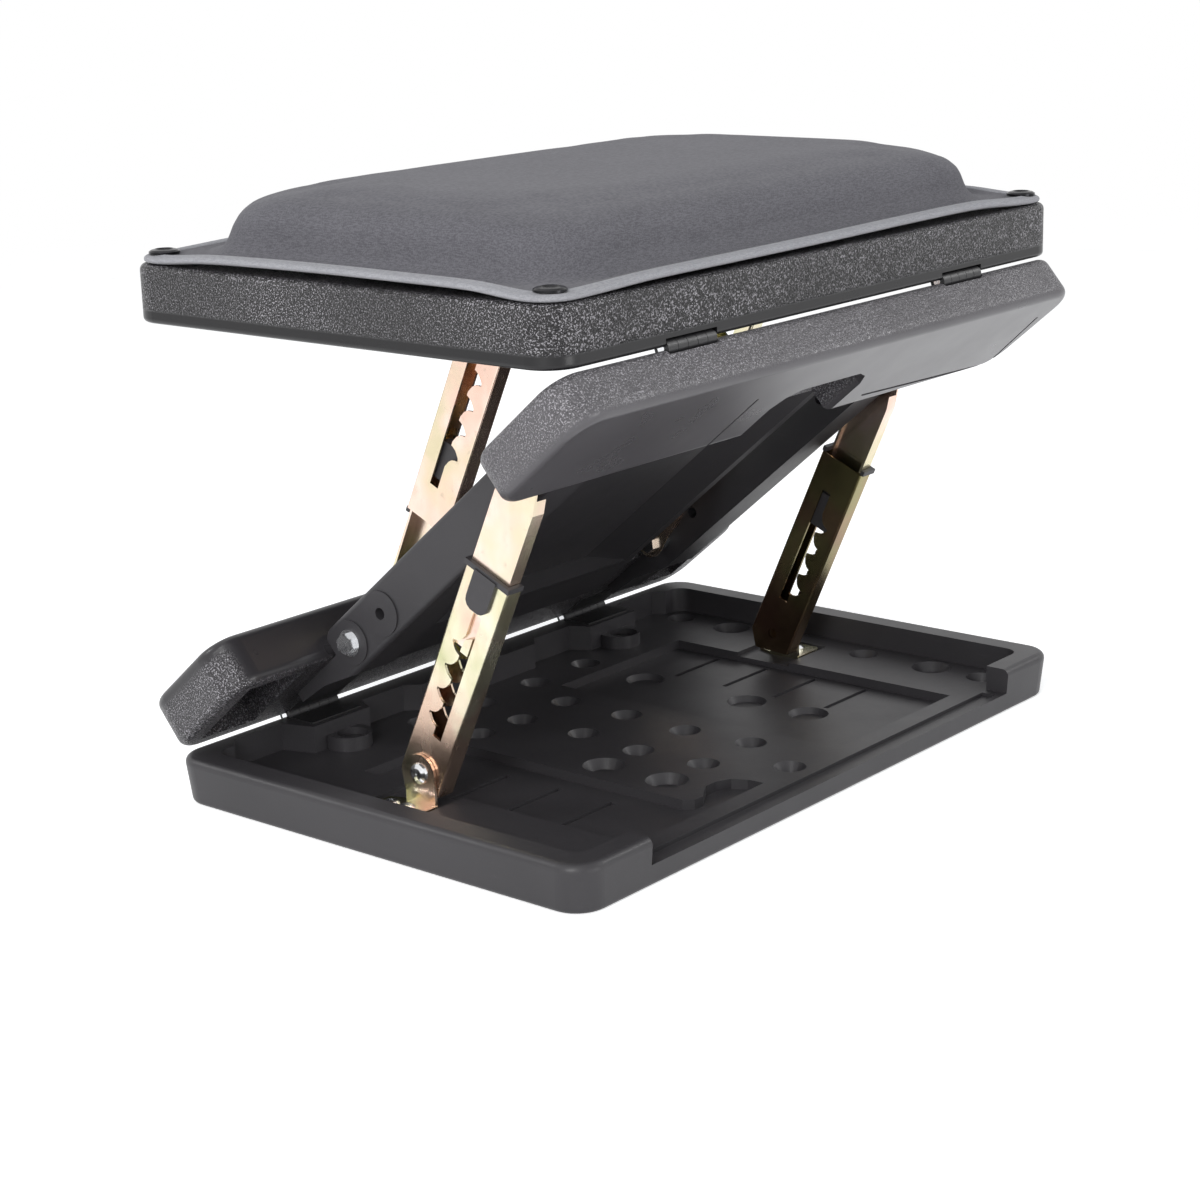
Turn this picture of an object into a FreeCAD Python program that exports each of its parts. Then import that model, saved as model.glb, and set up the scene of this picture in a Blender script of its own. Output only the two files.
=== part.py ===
import FreeCAD, Part
import Sketcher
import math
import os

# Folding under-desk footrest, shown raised.
# Two moulded trays are joined by a sloping panel with a flap at each end. Four sheet steel
# telescopic struts hold the fold, and a padded cushion snaps onto the upper tray.
# X is the width, +Y is the hinge side of the base, +Z is up.
# The origin is the middle of the base's footprint on the floor.

V = FreeCAD.Vector
doc = FreeCAD.newDocument("footrest")
sheet = doc.addObject("Spreadsheet::Sheet", "Sizes")
rows = {"next": 1}


class Size:
    """A length or angle: the formula kept in the document and the number it gives now."""

    def __init__(self, text, value):
        self.text = text
        self.value = value

    def __add__(self, other):
        other = as_size(other)
        return Size("(" + self.text + " + " + other.text + ")", self.value + other.value)

    def __radd__(self, other):
        return as_size(other) + self

    def __sub__(self, other):
        other = as_size(other)
        return Size("(" + self.text + " - " + other.text + ")", self.value - other.value)

    def __rsub__(self, other):
        return as_size(other) - self

    def __mul__(self, other):
        other = as_size(other)
        return Size("(" + self.text + " * " + other.text + ")", self.value * other.value)

    def __rmul__(self, other):
        return as_size(other) * self

    def __truediv__(self, other):
        other = as_size(other)
        return Size("(" + self.text + " / " + other.text + ")", self.value / other.value)

    def __neg__(self):
        return Size("(0 - " + self.text + ")", 0 - self.value)


def as_size(thing):
    if isinstance(thing, Size):
        return thing
    return Size("(" + repr(float(thing)) + ")", float(thing))


def size(alias, value):
    """One driving value, or a formula of others: a cell of the sheet with its alias."""
    cell = "A" + str(rows["next"])
    rows["next"] += 1
    given = as_size(value)
    formula = given.text.replace("Sizes.", "")
    sheet.set(cell, "=" + formula if isinstance(value, Size) else str(value))
    sheet.setAlias(cell, alias)
    return Size("Sizes." + alias, given.value)


def sine(angle):
    return Size("sin(" + angle.text + ")", math.sin(math.radians(angle.value)))


def cosine(angle):
    return Size("cos(" + angle.text + ")", math.cos(math.radians(angle.value)))


def root(thing):
    return Size("sqrt(" + thing.text + ")", math.sqrt(thing.value))


def bind(thing, path, value):
    thing.setExpression(path, as_size(value).text)


# Overall sizes
width = size("width", 440)
depth = size("depth", 290)
base_height = size("base_height", 26)
top_thickness = size("top_thickness", 30)
corner_radius = size("corner_radius", 17)
side_draft = size("side_draft", 5)
edge_round = size("edge_round", 2.5)

# The fold: two hinge lines at opposite ends of the sloping panel
fold_angle = size("fold_angle", 40.15)
hinge_span = size("hinge_span", 362)
hinge_inset = size("hinge_inset", 3.5)
hinge_gap = size("hinge_gap", 1)
flap_gap = size("flap_gap", 3)
flap_round = size("flap_round", 5)
flap_corner = size("flap_corner", 18)

# Tray floors and rims, base and top alike
rim_side = size("rim_side", 16.5)
rim_toe = size("rim_toe", 17)
rim_heel = size("rim_heel", 15)
floor_high = size("floor_high", 10.5)
floor_low = size("floor_low", 5)
cavity_corner = size("cavity_corner", 9)
stub_inner = size("stub_inner", width / 2 - 54)
stub_depth = size("stub_depth", 26)
heel_lip = size("heel_lip", 11.5)

# Hinge knuckles
hinge_place = size("hinge_place", width / 2 - 100)
hinge_length = size("hinge_length", 38)
barrel_radius = size("barrel_radius", 4.4)
pin_radius = size("pin_radius", 2)
pin_clearance = size("pin_clearance", 0.05)
knuckle_clearance = size("knuckle_clearance", 0.3)
notch_clearance = size("notch_clearance", 0.8)
leaf_thickness = size("leaf_thickness", 0.8)
leaf_reach = size("leaf_reach", 22)

# Sloping panel and its two arms
panel_half = size("panel_half", width / 2 - 128)
panel_top = size("panel_top", 15)
panel_under = size("panel_under", 4)
panel_recess = size("panel_recess", 6)
recess_half_deep = size("recess_half_deep", 55)
recess_half_wide = size("recess_half_wide", panel_half - 8)
recess_end = size("recess_end", 12)
panel_lap = size("panel_lap", 32)
arm_inner = size("arm_inner", width / 2 - 100)
arm_outer = size("arm_outer", arm_inner + 29)
arm_half = size("arm_half", 15)
arm_start = size("arm_start", 30)
arm_tip = size("arm_tip", 6)
pad_proud = size("pad_proud", 1)
pad_radius = size("pad_radius", 12.5)
pivot_reach = size("pivot_reach", hinge_span + 2 * hinge_inset - depth - flap_gap + 12)
spare_reach = size("spare_reach", pivot_reach + 31)
spare_hole = size("spare_hole", 3.3)

# Struts
strut_foot = size("strut_foot", 128.3)
strut_drop = size("strut_drop", 1)
lower_edge = size("lower_edge", arm_outer + 1.4)
upper_edge = size("upper_edge", arm_inner - 2.4)
channel_depth = size("channel_depth", 11.6)
channel_half = size("channel_half", 15)
sheet_steel = size("sheet_steel", 1.5)
back_steel = size("back_steel", 1.2)
slide_clearance = size("slide_clearance", 0.2)
channel_length = size("channel_length", 124.5)
channel_toe = size("channel_toe", 15)
channel_heel = size("channel_heel", 6.5)
bend_radius = size("bend_radius", 2)
slot_start = size("slot_start", 24)
slot_end = size("slot_end", 103)
slot_back = size("slot_back", 5)
slot_width = size("slot_width", 6)
notch_depth = size("notch_depth", 7)
notch_first = size("notch_first", 36)
notch_pitch = size("notch_pitch", 15.3)
notch_count = 4
slider_low = size("slider_low", 80)
slider_flange = size("slider_flange", 8.5)
slider_lip = size("slider_lip", 3.5)
tongue_radius = size("tongue_radius", 9)
tongue_taper = size("tongue_taper", 26)
pawl_thickness = size("pawl_thickness", 3)
cap_height = size("cap_height", 3)
cap_proud = size("cap_proud", 0.9)
cap_tab = size("cap_tab", 20)
cap_tab_half = size("cap_tab_half", 7.6)
rivet_head = size("rivet_head", 6)
rivet_dome = size("rivet_dome", 2.8)
rivet_shank = size("rivet_shank", 3)
bolt_shank = size("bolt_shank", 3)
bolt_head = size("bolt_head", 5.6)
bolt_head_height = size("bolt_head_height", 4)
washer_radius = size("washer_radius", 7.5)
washer_thickness = size("washer_thickness", 1)
spacer_radius = size("spacer_radius", 6.5)
open_gap = size("open_gap", 0.4)
relief_reach = size("relief_reach", 8)
relief_side = size("relief_side", 1)
relief_depth = size("relief_depth", 19)

# Strut brackets and their screws
bracket_steel = size("bracket_steel", 1.7)
bracket_clearance = size("bracket_clearance", 0.3)
ear_half = size("ear_half", 10.5)
foot_reach = size("foot_reach", 24)
foot_start = size("foot_start", 11)
foot_end = size("foot_end", 21)
foot_pocket = size("foot_pocket", 8)
foot_pocket_margin = size("foot_pocket_margin", 3.5)
screw_one = size("screw_one", 0)
screw_two = size("screw_two", 11)
screw_out = size("screw_out", 13)
screw_head = size("screw_head", 5)
screw_head_height = size("screw_head_height", 2.8)
screw_shank = size("screw_shank", 2)
screw_length = size("screw_length", 5)

# Cushion
cushion_clearance = size("cushion_clearance", 0.3)
cushion_inset = size("cushion_inset", 2)
skirt_thickness = size("skirt_thickness", 3.6)
hem_width = size("hem_width", 9)
hem_thickness = size("hem_thickness", 4.2)
dome_half_width = size("dome_half_width", width / 2 - 24.5)
dome_half_depth = size("dome_half_depth", depth / 2 - 21.5)
dome_height = size("dome_height", 36.4)
dome_corner = size("dome_corner", 42)
snap_out = size("snap_out", width / 2 - 15)
snap_inset = size("snap_inset", 14)
snap_radius = size("snap_radius", 8)
snap_height = size("snap_height", 2.2)
stud_radius = size("stud_radius", 3.4)
stud_height = size("stud_height", 2.6)
bump_radius = size("bump_radius", 4)
bump_height = size("bump_height", 1.2)
bump_columns = 12
bump_pitch = size("bump_pitch", 25)

doc.recompute()

# Places that follow from the sizes
half_width = width / 2
half_depth = depth / 2
hinge_y = half_depth - hinge_inset
hinge_z = base_height + hinge_gap
flap_width = hinge_span + 2 * hinge_inset - depth - flap_gap
upper_hinge_y = hinge_y - hinge_span * cosine(fold_angle)
upper_hinge_z = hinge_z + hinge_span * sine(fold_angle)
arm_pivot = hinge_span - pivot_reach
foot_y = hinge_y - strut_foot
foot_z = hinge_z - strut_drop
strut_run = arm_pivot * cosine(fold_angle) - strut_foot
strut_rise = arm_pivot * sine(fold_angle) + strut_drop
strut_reach = root(strut_run * strut_run + strut_rise * strut_rise)
strut_tilt = Size("(atan(" + (strut_run / strut_rise).text + ") / 1deg)",
                  math.degrees(math.atan((strut_run / strut_rise).value)))
top_face = hinge_gap + top_thickness


def finish(thing):
    """Recompute and stop at once if the feature did not build."""
    doc.recompute()
    for state in thing.State:
        if state in ("Invalid", "Error"):
            raise RuntimeError(thing.Name + " did not build")


def new_body(label, tilt=None, y=None, z=None):
    """A body with its place: turned about X, then set at y and z."""
    body = doc.addObject("PartDesign::Body", label)
    body.Label = label
    place(body, tilt, y, z)
    return body


def place(thing, tilt=None, y=None, z=None, x=None):
    thing.Placement = FreeCAD.Placement(V(0, 0, 0), FreeCAD.Rotation(V(1, 0, 0), 1))
    bind(thing, "Placement.Rotation.Angle", 0 if tilt is None else tilt)
    if x is not None:
        bind(thing, "Placement.Base.x", x)
    if y is not None:
        bind(thing, "Placement.Base.y", y)
    if z is not None:
        bind(thing, "Placement.Base.z", z)


def new_sketch(body, name, role, offset=None):
    sketch = body.newObject("Sketcher::SketchObject", name)
    for item in body.Origin.OriginFeatures:
        if item.Role == role:
            sketch.AttachmentSupport = [(item, "")]
    sketch.MapMode = "FlatFace"
    if offset is not None:
        bind(sketch, "AttachmentOffset.Base.z", offset)
    doc.recompute()
    return sketch


def hold(sketch, geometry, point, across, up):
    """Two distances from the sketch's origin hold one point."""
    first = sketch.ConstraintCount
    sketch.addConstraint([
        Sketcher.Constraint("DistanceX", -1, 1, geometry, point, across.value),
        Sketcher.Constraint("DistanceY", -1, 1, geometry, point, up.value),
    ])
    sketch.setExpression("Constraints[%d]" % first, across.text)
    sketch.setExpression("Constraints[%d]" % (first + 1), up.text)


def outline(sketch, corners):
    """A closed outline of straight lines through the corners."""
    first = sketch.GeometryCount
    points = [(as_size(a), as_size(b)) for a, b in corners]
    count = len(points)
    lines = []
    for i in range(count):
        start = V(points[i][0].value, points[i][1].value, 0)
        end = V(points[(i + 1) % count][0].value, points[(i + 1) % count][1].value, 0)
        lines.append(Part.LineSegment(start, end))
    sketch.addGeometry(lines, False)
    sketch.addConstraint([
        Sketcher.Constraint("Coincident", first + i, 2, first + (i + 1) % count, 1)
        for i in range(count)
    ])
    for i in range(count):
        hold(sketch, first + i, 1, points[i][0], points[i][1])


def rectangle(sketch, left, low, right, high):
    outline(sketch, [(left, low), (right, low), (right, high), (left, high)])


def circle(sketch, across, up, radius):
    across, up, radius = as_size(across), as_size(up), as_size(radius)
    number = sketch.GeometryCount
    sketch.addGeometry(Part.Circle(V(across.value, up.value, 0), V(0, 0, 1), radius.value), False)
    hold(sketch, number, 3, across, up)
    first = sketch.ConstraintCount
    sketch.addConstraint(Sketcher.Constraint("Radius", number, radius.value))
    sketch.setExpression("Constraints[%d]" % first, radius.text)


def pad(body, name, sketch, length, back=False, both=False, taper=None):
    item = body.newObject("PartDesign::Pad", name)
    item.Profile = sketch
    bind(item, "Length", length)
    item.Reversed = back
    if both:
        item.SideType = "Symmetric"
    if taper is not None:
        bind(item, "TaperAngle", taper)
    finish(item)
    return item


def pocket(body, name, sketch, length, back=False, both=False, taper=None):
    """A cut, which has to take something away."""
    before = body.Tip.Shape.Volume
    item = body.newObject("PartDesign::Pocket", name)
    item.Profile = sketch
    bind(item, "Length", length)
    item.Reversed = back
    if both:
        item.SideType = "Symmetric"
    if taper is not None:
        bind(item, "TaperAngle", taper)
    finish(item)
    if not item.Shape.Volume < before - 0.01:
        raise RuntimeError(name + " cuts nothing")
    return item


def turned(body, name, corners):
    """A shape of revolution about X, from corners given as (x, radius)."""
    sketch = new_sketch(body, name + "_profile", "XY_Plane")
    outline(sketch, corners)
    item = body.newObject("PartDesign::Revolution", name)
    item.Profile = sketch
    item.ReferenceAxis = (sketch, ["H_Axis"])
    item.Angle = 360
    finish(item)
    return item


def fillet(body, name, radius, chosen):
    """Round the edges that chosen() picks from the body as it stands."""
    doc.recompute()
    base = body.Tip
    names = ["Edge%d" % (n + 1) for n, edge in enumerate(base.Shape.Edges) if chosen(edge)]
    if not names:
        raise RuntimeError(name + " finds no edge")
    item = body.newObject("PartDesign::Fillet", name)
    item.Base = (base, names)
    bind(item, "Radius", radius)
    finish(item)
    return item


def runs(edge, axis, least):
    """True for an edge at least so long along one axis and almost straight along it."""
    box = edge.BoundBox
    spans = [box.XLength, box.YLength, box.ZLength]
    along = spans.pop(axis)
    return along > least and max(spans) < 0.25 * along


def near(value, target, slack=0.2):
    return abs(value - target) < slack


def flat_at(edge, level):
    """True for an edge that lies wholly at one height."""
    return near(edge.BoundBox.ZMin, level, 0.01) and near(edge.BoundBox.ZMax, level, 0.01)


def placed_copy(source, name, x, y, z, tilt):
    link = doc.addObject("App::Link", name)
    link.LinkedObject = source
    link.LinkTransform = False
    place(link, tilt, y, z, x)
    return link


parts = []


def keep(thing):
    parts.append(thing)
    return thing


# Base tray
base = keep(new_body("base_tray"))
shape = new_sketch(base, "base_outline", "XY_Plane", base_height)
rectangle(shape, -half_width, -half_depth, half_width, half_depth)
pad(base, "base_block", shape, base_height, back=True, taper=-side_draft)
fillet(base, "base_corners", corner_radius, lambda e: runs(e, 2, base_height.value * 0.9))
fillet(base, "base_foot_edge", edge_round, lambda e: flat_at(e, 0))
fillet(base, "base_rim_edge", edge_round + 1.5, lambda e: flat_at(e, base_height.value))

# The inside wall at the hinge end steps in and out as blunt lugs
shape = new_sketch(base, "base_floor_outline", "XY_Plane", base_height)
side = half_width - rim_side
heel = -half_depth + rim_heel
toe = half_depth - rim_toe
lug = half_depth - leaf_reach - hinge_inset - 4
tooth = half_depth - rim_toe + 7
outline(shape, [
    (-side, heel), (side, heel), (side, toe), (side - 14, toe), (side - 20, tooth),
    (hinge_place + hinge_length / 2 + 9, tooth), (hinge_place + hinge_length / 2 + 3, lug),
    (hinge_place - hinge_length / 2 - 3, lug), (hinge_place - hinge_length / 2 - 9, toe),
    (58, toe), (50, toe - 8), (-50, toe - 8), (-58, toe),
    (-hinge_place + hinge_length / 2 + 9, toe), (-hinge_place + hinge_length / 2 + 3, lug),
    (-hinge_place - hinge_length / 2 - 3, lug), (-hinge_place - hinge_length / 2 - 9, tooth),
    (-side + 20, tooth), (-side + 14, toe), (-side, toe),
])
pocket(base, "base_floor", shape, base_height - floor_high)
fillet(base, "base_floor_corners", cavity_corner,
       lambda e: runs(e, 2, 5) and near(abs(e.CenterOfMass.x), side.value)
       and e.BoundBox.ZMin > 5)

# Round bosses under the hinges, each with a cupped top
boss_radius = size("boss_radius", 13)
boss_top = size("boss_top", 18.5)
boss_cup = size("boss_cup", 9)
boss_cup_depth = size("boss_cup_depth", 4)
boss_y = lug - 5
doc.recompute()
shape = new_sketch(base, "boss_circles", "XY_Plane", floor_high - 2)
for hand in (-1, 1):
    circle(shape, hand * hinge_place, boss_y, boss_radius)
pad(base, "bosses", shape, boss_top - floor_high + 2)
shape = new_sketch(base, "boss_cups_outline", "XY_Plane", boss_top)
for hand in (-1, 1):
    circle(shape, hand * hinge_place, boss_y - 3, boss_cup)
pocket(base, "boss_cups", shape, boss_cup_depth)

# Low lanes beside the raised middle of the floor
lane_out = size("lane_out", 147)
plateau_left = size("plateau_left", 83)
plateau_right = size("plateau_right", 32)
lane_toe = size("lane_toe", 73)
lane_heel = size("lane_heel", 262)
doc.recompute()
shape = new_sketch(base, "left_lane_outline", "XY_Plane", floor_high)
lane_start = half_depth - lane_toe
lane_stop = half_depth - lane_heel
outline(shape, [
    (-lane_out, lane_start), (-lane_out, lane_stop), (-plateau_left + 46, lane_stop),
    (-plateau_left + 45, lane_stop + 10), (-plateau_left + 41, lane_stop + 18),
    (-plateau_left + 33, lane_stop + 22), (-plateau_left + 24, lane_stop + 22),
    (-plateau_left + 17, lane_stop + 18), (-plateau_left + 11, lane_stop + 14),
    (-plateau_left + 4, lane_stop + 14), (-plateau_left, lane_stop + 19),
    (-plateau_left, lane_start),
])
pocket(base, "left_lane", shape, floor_high - floor_low)
shape = new_sketch(base, "right_lane_outline", "XY_Plane", floor_high)
rectangle(shape, plateau_right, lane_stop, lane_out, lane_start + 12)
pocket(base, "right_lane", shape, floor_high - floor_low)

# Cross grooves in the lanes
groove_width = size("groove_width", 3.4)
groove_depth = size("groove_depth", 1.6)
groove_pitch = size("groove_pitch", 37)
doc.recompute()
shape = new_sketch(base, "lane_grooves_outline", "XY_Plane", floor_low)
for n in range(4):
    line_y = half_depth - 97 - n * groove_pitch
    rectangle(shape, -lane_out + 2, line_y, -plateau_left - 12, line_y + groove_width)
    rectangle(shape, plateau_right + 68, line_y, lane_out - 2, line_y + groove_width)
pocket(base, "lane_grooves", shape, groove_depth)

# Moulded dimples, where the two skins of the tray meet
dimple_large = size("dimple_large", 11.8)
dimple_small = size("dimple_small", 9)
dimple_depth = size("dimple_depth", 5.5)
dimple_slope = size("dimple_slope", 33)
doc.recompute()
large = [(-64, 174), (-63, 217), (188, 72), (188, 223), (-188, 72), (-188, 174), (-188, 223)]
small = [(-34, 174), (-29, 130), (-30, 85), (8, 174), (12, 217), (-31, 217), (10, 84),
         (11, 129), (-63, 82), (-66, 40), (-8, 258), (75, 44), (188, 31), (-188, 31),
         (-20, 44), (28, 44), (-188, 258), (188, 258), (188, 174)]
shape = new_sketch(base, "dimple_circles", "XY_Plane", floor_high)
for x, y in large:
    circle(shape, x, half_depth - y, dimple_large)
for x, y in small:
    circle(shape, x, half_depth - y, dimple_small)
pocket(base, "dimples", shape, dimple_depth, taper=-dimple_slope)
shape = new_sketch(base, "lane_dimple_circles", "XY_Plane", floor_low)
for x, y in [(84, 161), (86, 204), (84, 84)]:
    circle(shape, x, half_depth - y, dimple_large)
pocket(base, "lane_dimples", shape, floor_low * 0.7, taper=-dimple_slope)

# The heel rim is cut low between two corner stubs
shape = new_sketch(base, "heel_opening_outline", "XY_Plane", base_height)
rectangle(shape, -stub_inner, -half_depth - 2, stub_inner, -half_depth + stub_depth)
pocket(base, "heel_opening", shape, base_height - heel_lip)
shape = new_sketch(base, "heel_ledge_outline", "XY_Plane", heel_lip)
rectangle(shape, -stub_inner + 6, -half_depth + 5, stub_inner - 6, -half_depth + 14)
pocket(base, "heel_ledge", shape, heel_lip - floor_high + 1)

# Seats for the hinges and for the strut brackets
seat_half = hinge_length / 2 + notch_clearance
seat_reach = barrel_radius + notch_clearance
shape = new_sketch(base, "hinge_seats_outline", "XY_Plane", base_height)
for hand in (-1, 1):
    middle = hand * hinge_place
    rectangle(shape, middle - seat_half, hinge_y - seat_reach, middle + seat_half,
              half_depth + 2)
pocket(base, "hinge_seats", shape, seat_reach - hinge_gap)
bracket_inner = lower_edge + channel_depth + bracket_clearance
shape = new_sketch(base, "bracket_seats_outline", "XY_Plane", floor_high)
rectangle(shape, bracket_inner - channel_depth - 6, foot_y - foot_start - foot_pocket_margin,
          bracket_inner + foot_reach + 1, foot_y + foot_end + foot_pocket_margin)
rectangle(shape, -bracket_inner - foot_reach - 1, foot_y - foot_start - foot_pocket_margin,
          -bracket_inner + channel_depth + 6, foot_y + foot_end + foot_pocket_margin)
pocket(base, "bracket_seats", shape, floor_high - foot_pocket)
shape = new_sketch(base, "bracket_screw_circles", "XY_Plane", foot_pocket)
for hand in (-1, 1):
    for along in (screw_one, screw_two):
        circle(shape, hand * (bracket_inner + screw_out), foot_y + along,
               screw_shank + pin_clearance)
pocket(base, "bracket_screw_holes", shape, screw_length)


# Top tray: the same moulding turned over, in the upper hinge's own place
top = keep(new_body("top_plate", None, upper_hinge_y, upper_hinge_z))
top_heel = -hinge_inset
top_toe = depth - hinge_inset
shape = new_sketch(top, "top_outline", "XY_Plane", hinge_gap)
rectangle(shape, -half_width, top_heel, half_width, top_toe)
pad(top, "top_block", shape, top_thickness)
fillet(top, "top_corners", corner_radius + 1, lambda e: runs(e, 2, top_thickness.value * 0.9))
fillet(top, "top_upper_edge", edge_round + 1, lambda e: flat_at(e, top_face.value))
fillet(top, "top_lower_edge", edge_round, lambda e: flat_at(e, hinge_gap.value))
top_ceiling = top_face - floor_high
shape = new_sketch(top, "top_cavity_outline", "XY_Plane", hinge_gap)
top_lug = leaf_reach + 4
outline(shape, [
    (-side, top_toe - rim_heel), (-side, top_heel + rim_toe),
    (-hinge_place - hinge_length / 2 - 9, top_heel + rim_toe),
    (-hinge_place - hinge_length / 2 - 3, top_lug),
    (-hinge_place + hinge_length / 2 + 3, top_lug),
    (-hinge_place + hinge_length / 2 + 9, top_heel + rim_toe),
    (hinge_place - hinge_length / 2 - 9, top_heel + rim_toe),
    (hinge_place - hinge_length / 2 - 3, top_lug),
    (hinge_place + hinge_length / 2 + 3, top_lug),
    (hinge_place + hinge_length / 2 + 9, top_heel + rim_toe),
    (side, top_heel + rim_toe), (side, top_toe - rim_heel),
])
pocket(top, "top_cavity", shape, top_ceiling - hinge_gap, back=True)
fillet(top, "top_cavity_corners", cavity_corner,
       lambda e: runs(e, 2, 5) and near(abs(e.CenterOfMass.x), side.value)
       and e.BoundBox.ZMax < top_face.value - 5)
shape = new_sketch(top, "toe_opening_outline", "XY_Plane", hinge_gap)
rectangle(shape, -stub_inner, top_toe - stub_depth, stub_inner, top_toe + 2)
pocket(top, "toe_opening", shape, top_thickness - heel_lip, back=True)
shape = new_sketch(top, "ceiling_panels_outline", "XY_Plane", top_ceiling)
for hand in (-1, 1):
    rectangle(shape, hand * 10, top_heel + 45, hand * 68, top_toe - 40)
pocket(top, "ceiling_panels", shape, floor_high - floor_low, back=True)
shape = new_sketch(top, "top_hinge_seats_outline", "XY_Plane", hinge_gap)
for hand in (-1, 1):
    middle = hand * hinge_place
    rectangle(shape, middle - seat_half, top_heel - 2, middle + seat_half, seat_reach)
pocket(top, "top_hinge_seats", shape, seat_reach - hinge_gap, back=True)
upper_inner = upper_edge - channel_depth - bracket_clearance
shape = new_sketch(top, "top_screw_circles", "XY_Plane", top_ceiling)
for hand in (-1, 1):
    for along in (screw_one, screw_two):
        circle(shape, hand * (upper_inner - screw_out), strut_foot - along,
               screw_shank + pin_clearance)
pocket(top, "top_screw_holes", shape, screw_length, back=True)

# Low massage bumps on the foot surface, in rows
shape = new_sketch(top, "bump_circles", "XY_Plane", top_face)
middle_y = top_heel + half_depth
for row in range(4):
    circle(shape, -bump_pitch * (bump_columns - 1) / 2, middle_y + (row - 1.5) * bump_pitch * 1.3,
           bump_radius)
first_bumps = pad(top, "bumps_column", shape, bump_height, taper=30)
rows_of_bumps = top.newObject("PartDesign::LinearPattern", "bumps")
rows_of_bumps.Originals = [first_bumps]
rows_of_bumps.Direction = (shape, ["H_Axis"])
bind(rows_of_bumps, "Length", bump_pitch * (bump_columns - 1))
rows_of_bumps.Occurrences = bump_columns
top.Tip = rows_of_bumps
finish(rows_of_bumps)


# Sloping panel: modelled flat with the lower hinge as origin, then swung up
def on_lift(label):
    return keep(new_body(label, -fold_angle, hinge_y, hinge_z))


panel = on_lift("lift_panel")
panel_from = flap_width - hinge_inset
panel_to = hinge_span - flap_width + hinge_inset
shape = new_sketch(panel, "panel_side", "YZ_Plane")
outline(shape, [
    (-panel_from + panel_lap, hinge_gap), (-panel_from, hinge_gap), (-panel_from, panel_top),
    (-panel_to - panel_lap, panel_top), (-panel_to - panel_lap - 6, panel_top - 8),
    (-panel_to - panel_lap - 6, -hinge_gap), (-panel_to, -hinge_gap),
    (-panel_to, -panel_under), (-panel_from + panel_lap - 6, -panel_under),
    (-panel_from + panel_lap, -panel_under + 4),
])
pad(panel, "panel_block", shape, panel_half * 2, both=True)
shape = new_sketch(panel, "panel_recess_section", "XZ_Plane", panel_from + recess_end)
outline(shape, [
    (-recess_half_wide, -panel_under - 1), (-recess_half_wide, -panel_under),
    (-recess_half_deep, panel_recess), (recess_half_deep, panel_recess),
    (recess_half_wide, -panel_under), (recess_half_wide, -panel_under - 1),
])
pocket(panel, "panel_recess", shape, panel_to - panel_from - recess_end * 2, back=True)

# Two arms, one each side, with round pads where the bolts go through
arms = {}
for hand, word in ((-1, "left"), (1, "right")):
    arm = on_lift("lift_arm_" + word)
    arms[word] = arm
    shape = new_sketch(arm, "arm_side_" + word, "YZ_Plane", hand * arm_inner)
    outline(shape, [
        (-arm_start, hinge_gap), (-panel_from, hinge_gap), (-panel_from, arm_half - 4),
        (-panel_from - 5, arm_half),
        (-hinge_span + panel_from + 6, arm_half), (-hinge_span + arm_start + 22, arm_tip + 1),
        (-hinge_span + arm_start, arm_tip - 1), (-hinge_span + arm_start, -hinge_gap),
        (-panel_to, -hinge_gap), (-panel_to, -arm_half + 4), (-panel_to + 5, -arm_half),
        (-panel_from - 6, -arm_half), (-arm_start - 22, -arm_tip - 1),
        (-arm_start, -arm_tip + 1),
    ])
    pad(arm, "arm_block_" + word, shape, arm_outer - arm_inner, back=(hand < 0))
    fillet(arm, "arm_edges_" + word, 3,
           lambda e: runs(e, 1, 100) and near(abs(e.CenterOfMass.x), arm_outer.value))
    shape = new_sketch(arm, "arm_pads_outline_" + word, "YZ_Plane",
                       hand * (arm_outer - 4))
    for reach in (pivot_reach, spare_reach, hinge_span - spare_reach, arm_pivot):
        circle(shape, -reach, 0, pad_radius)
    pad(arm, "arm_pads_" + word, shape, pad_proud + 4, back=(hand < 0))
    shape = new_sketch(arm, "arm_holes_outline_" + word, "YZ_Plane")
    for reach in (pivot_reach, arm_pivot):
        circle(shape, -reach, 0, bolt_shank + pin_clearance)
    for reach in (spare_reach, hinge_span - spare_reach):
        circle(shape, -reach, 0, spare_hole)
    pocket(arm, "arm_holes_" + word, shape, arm_outer + pad_proud + 2, back=(hand > 0))


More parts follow.
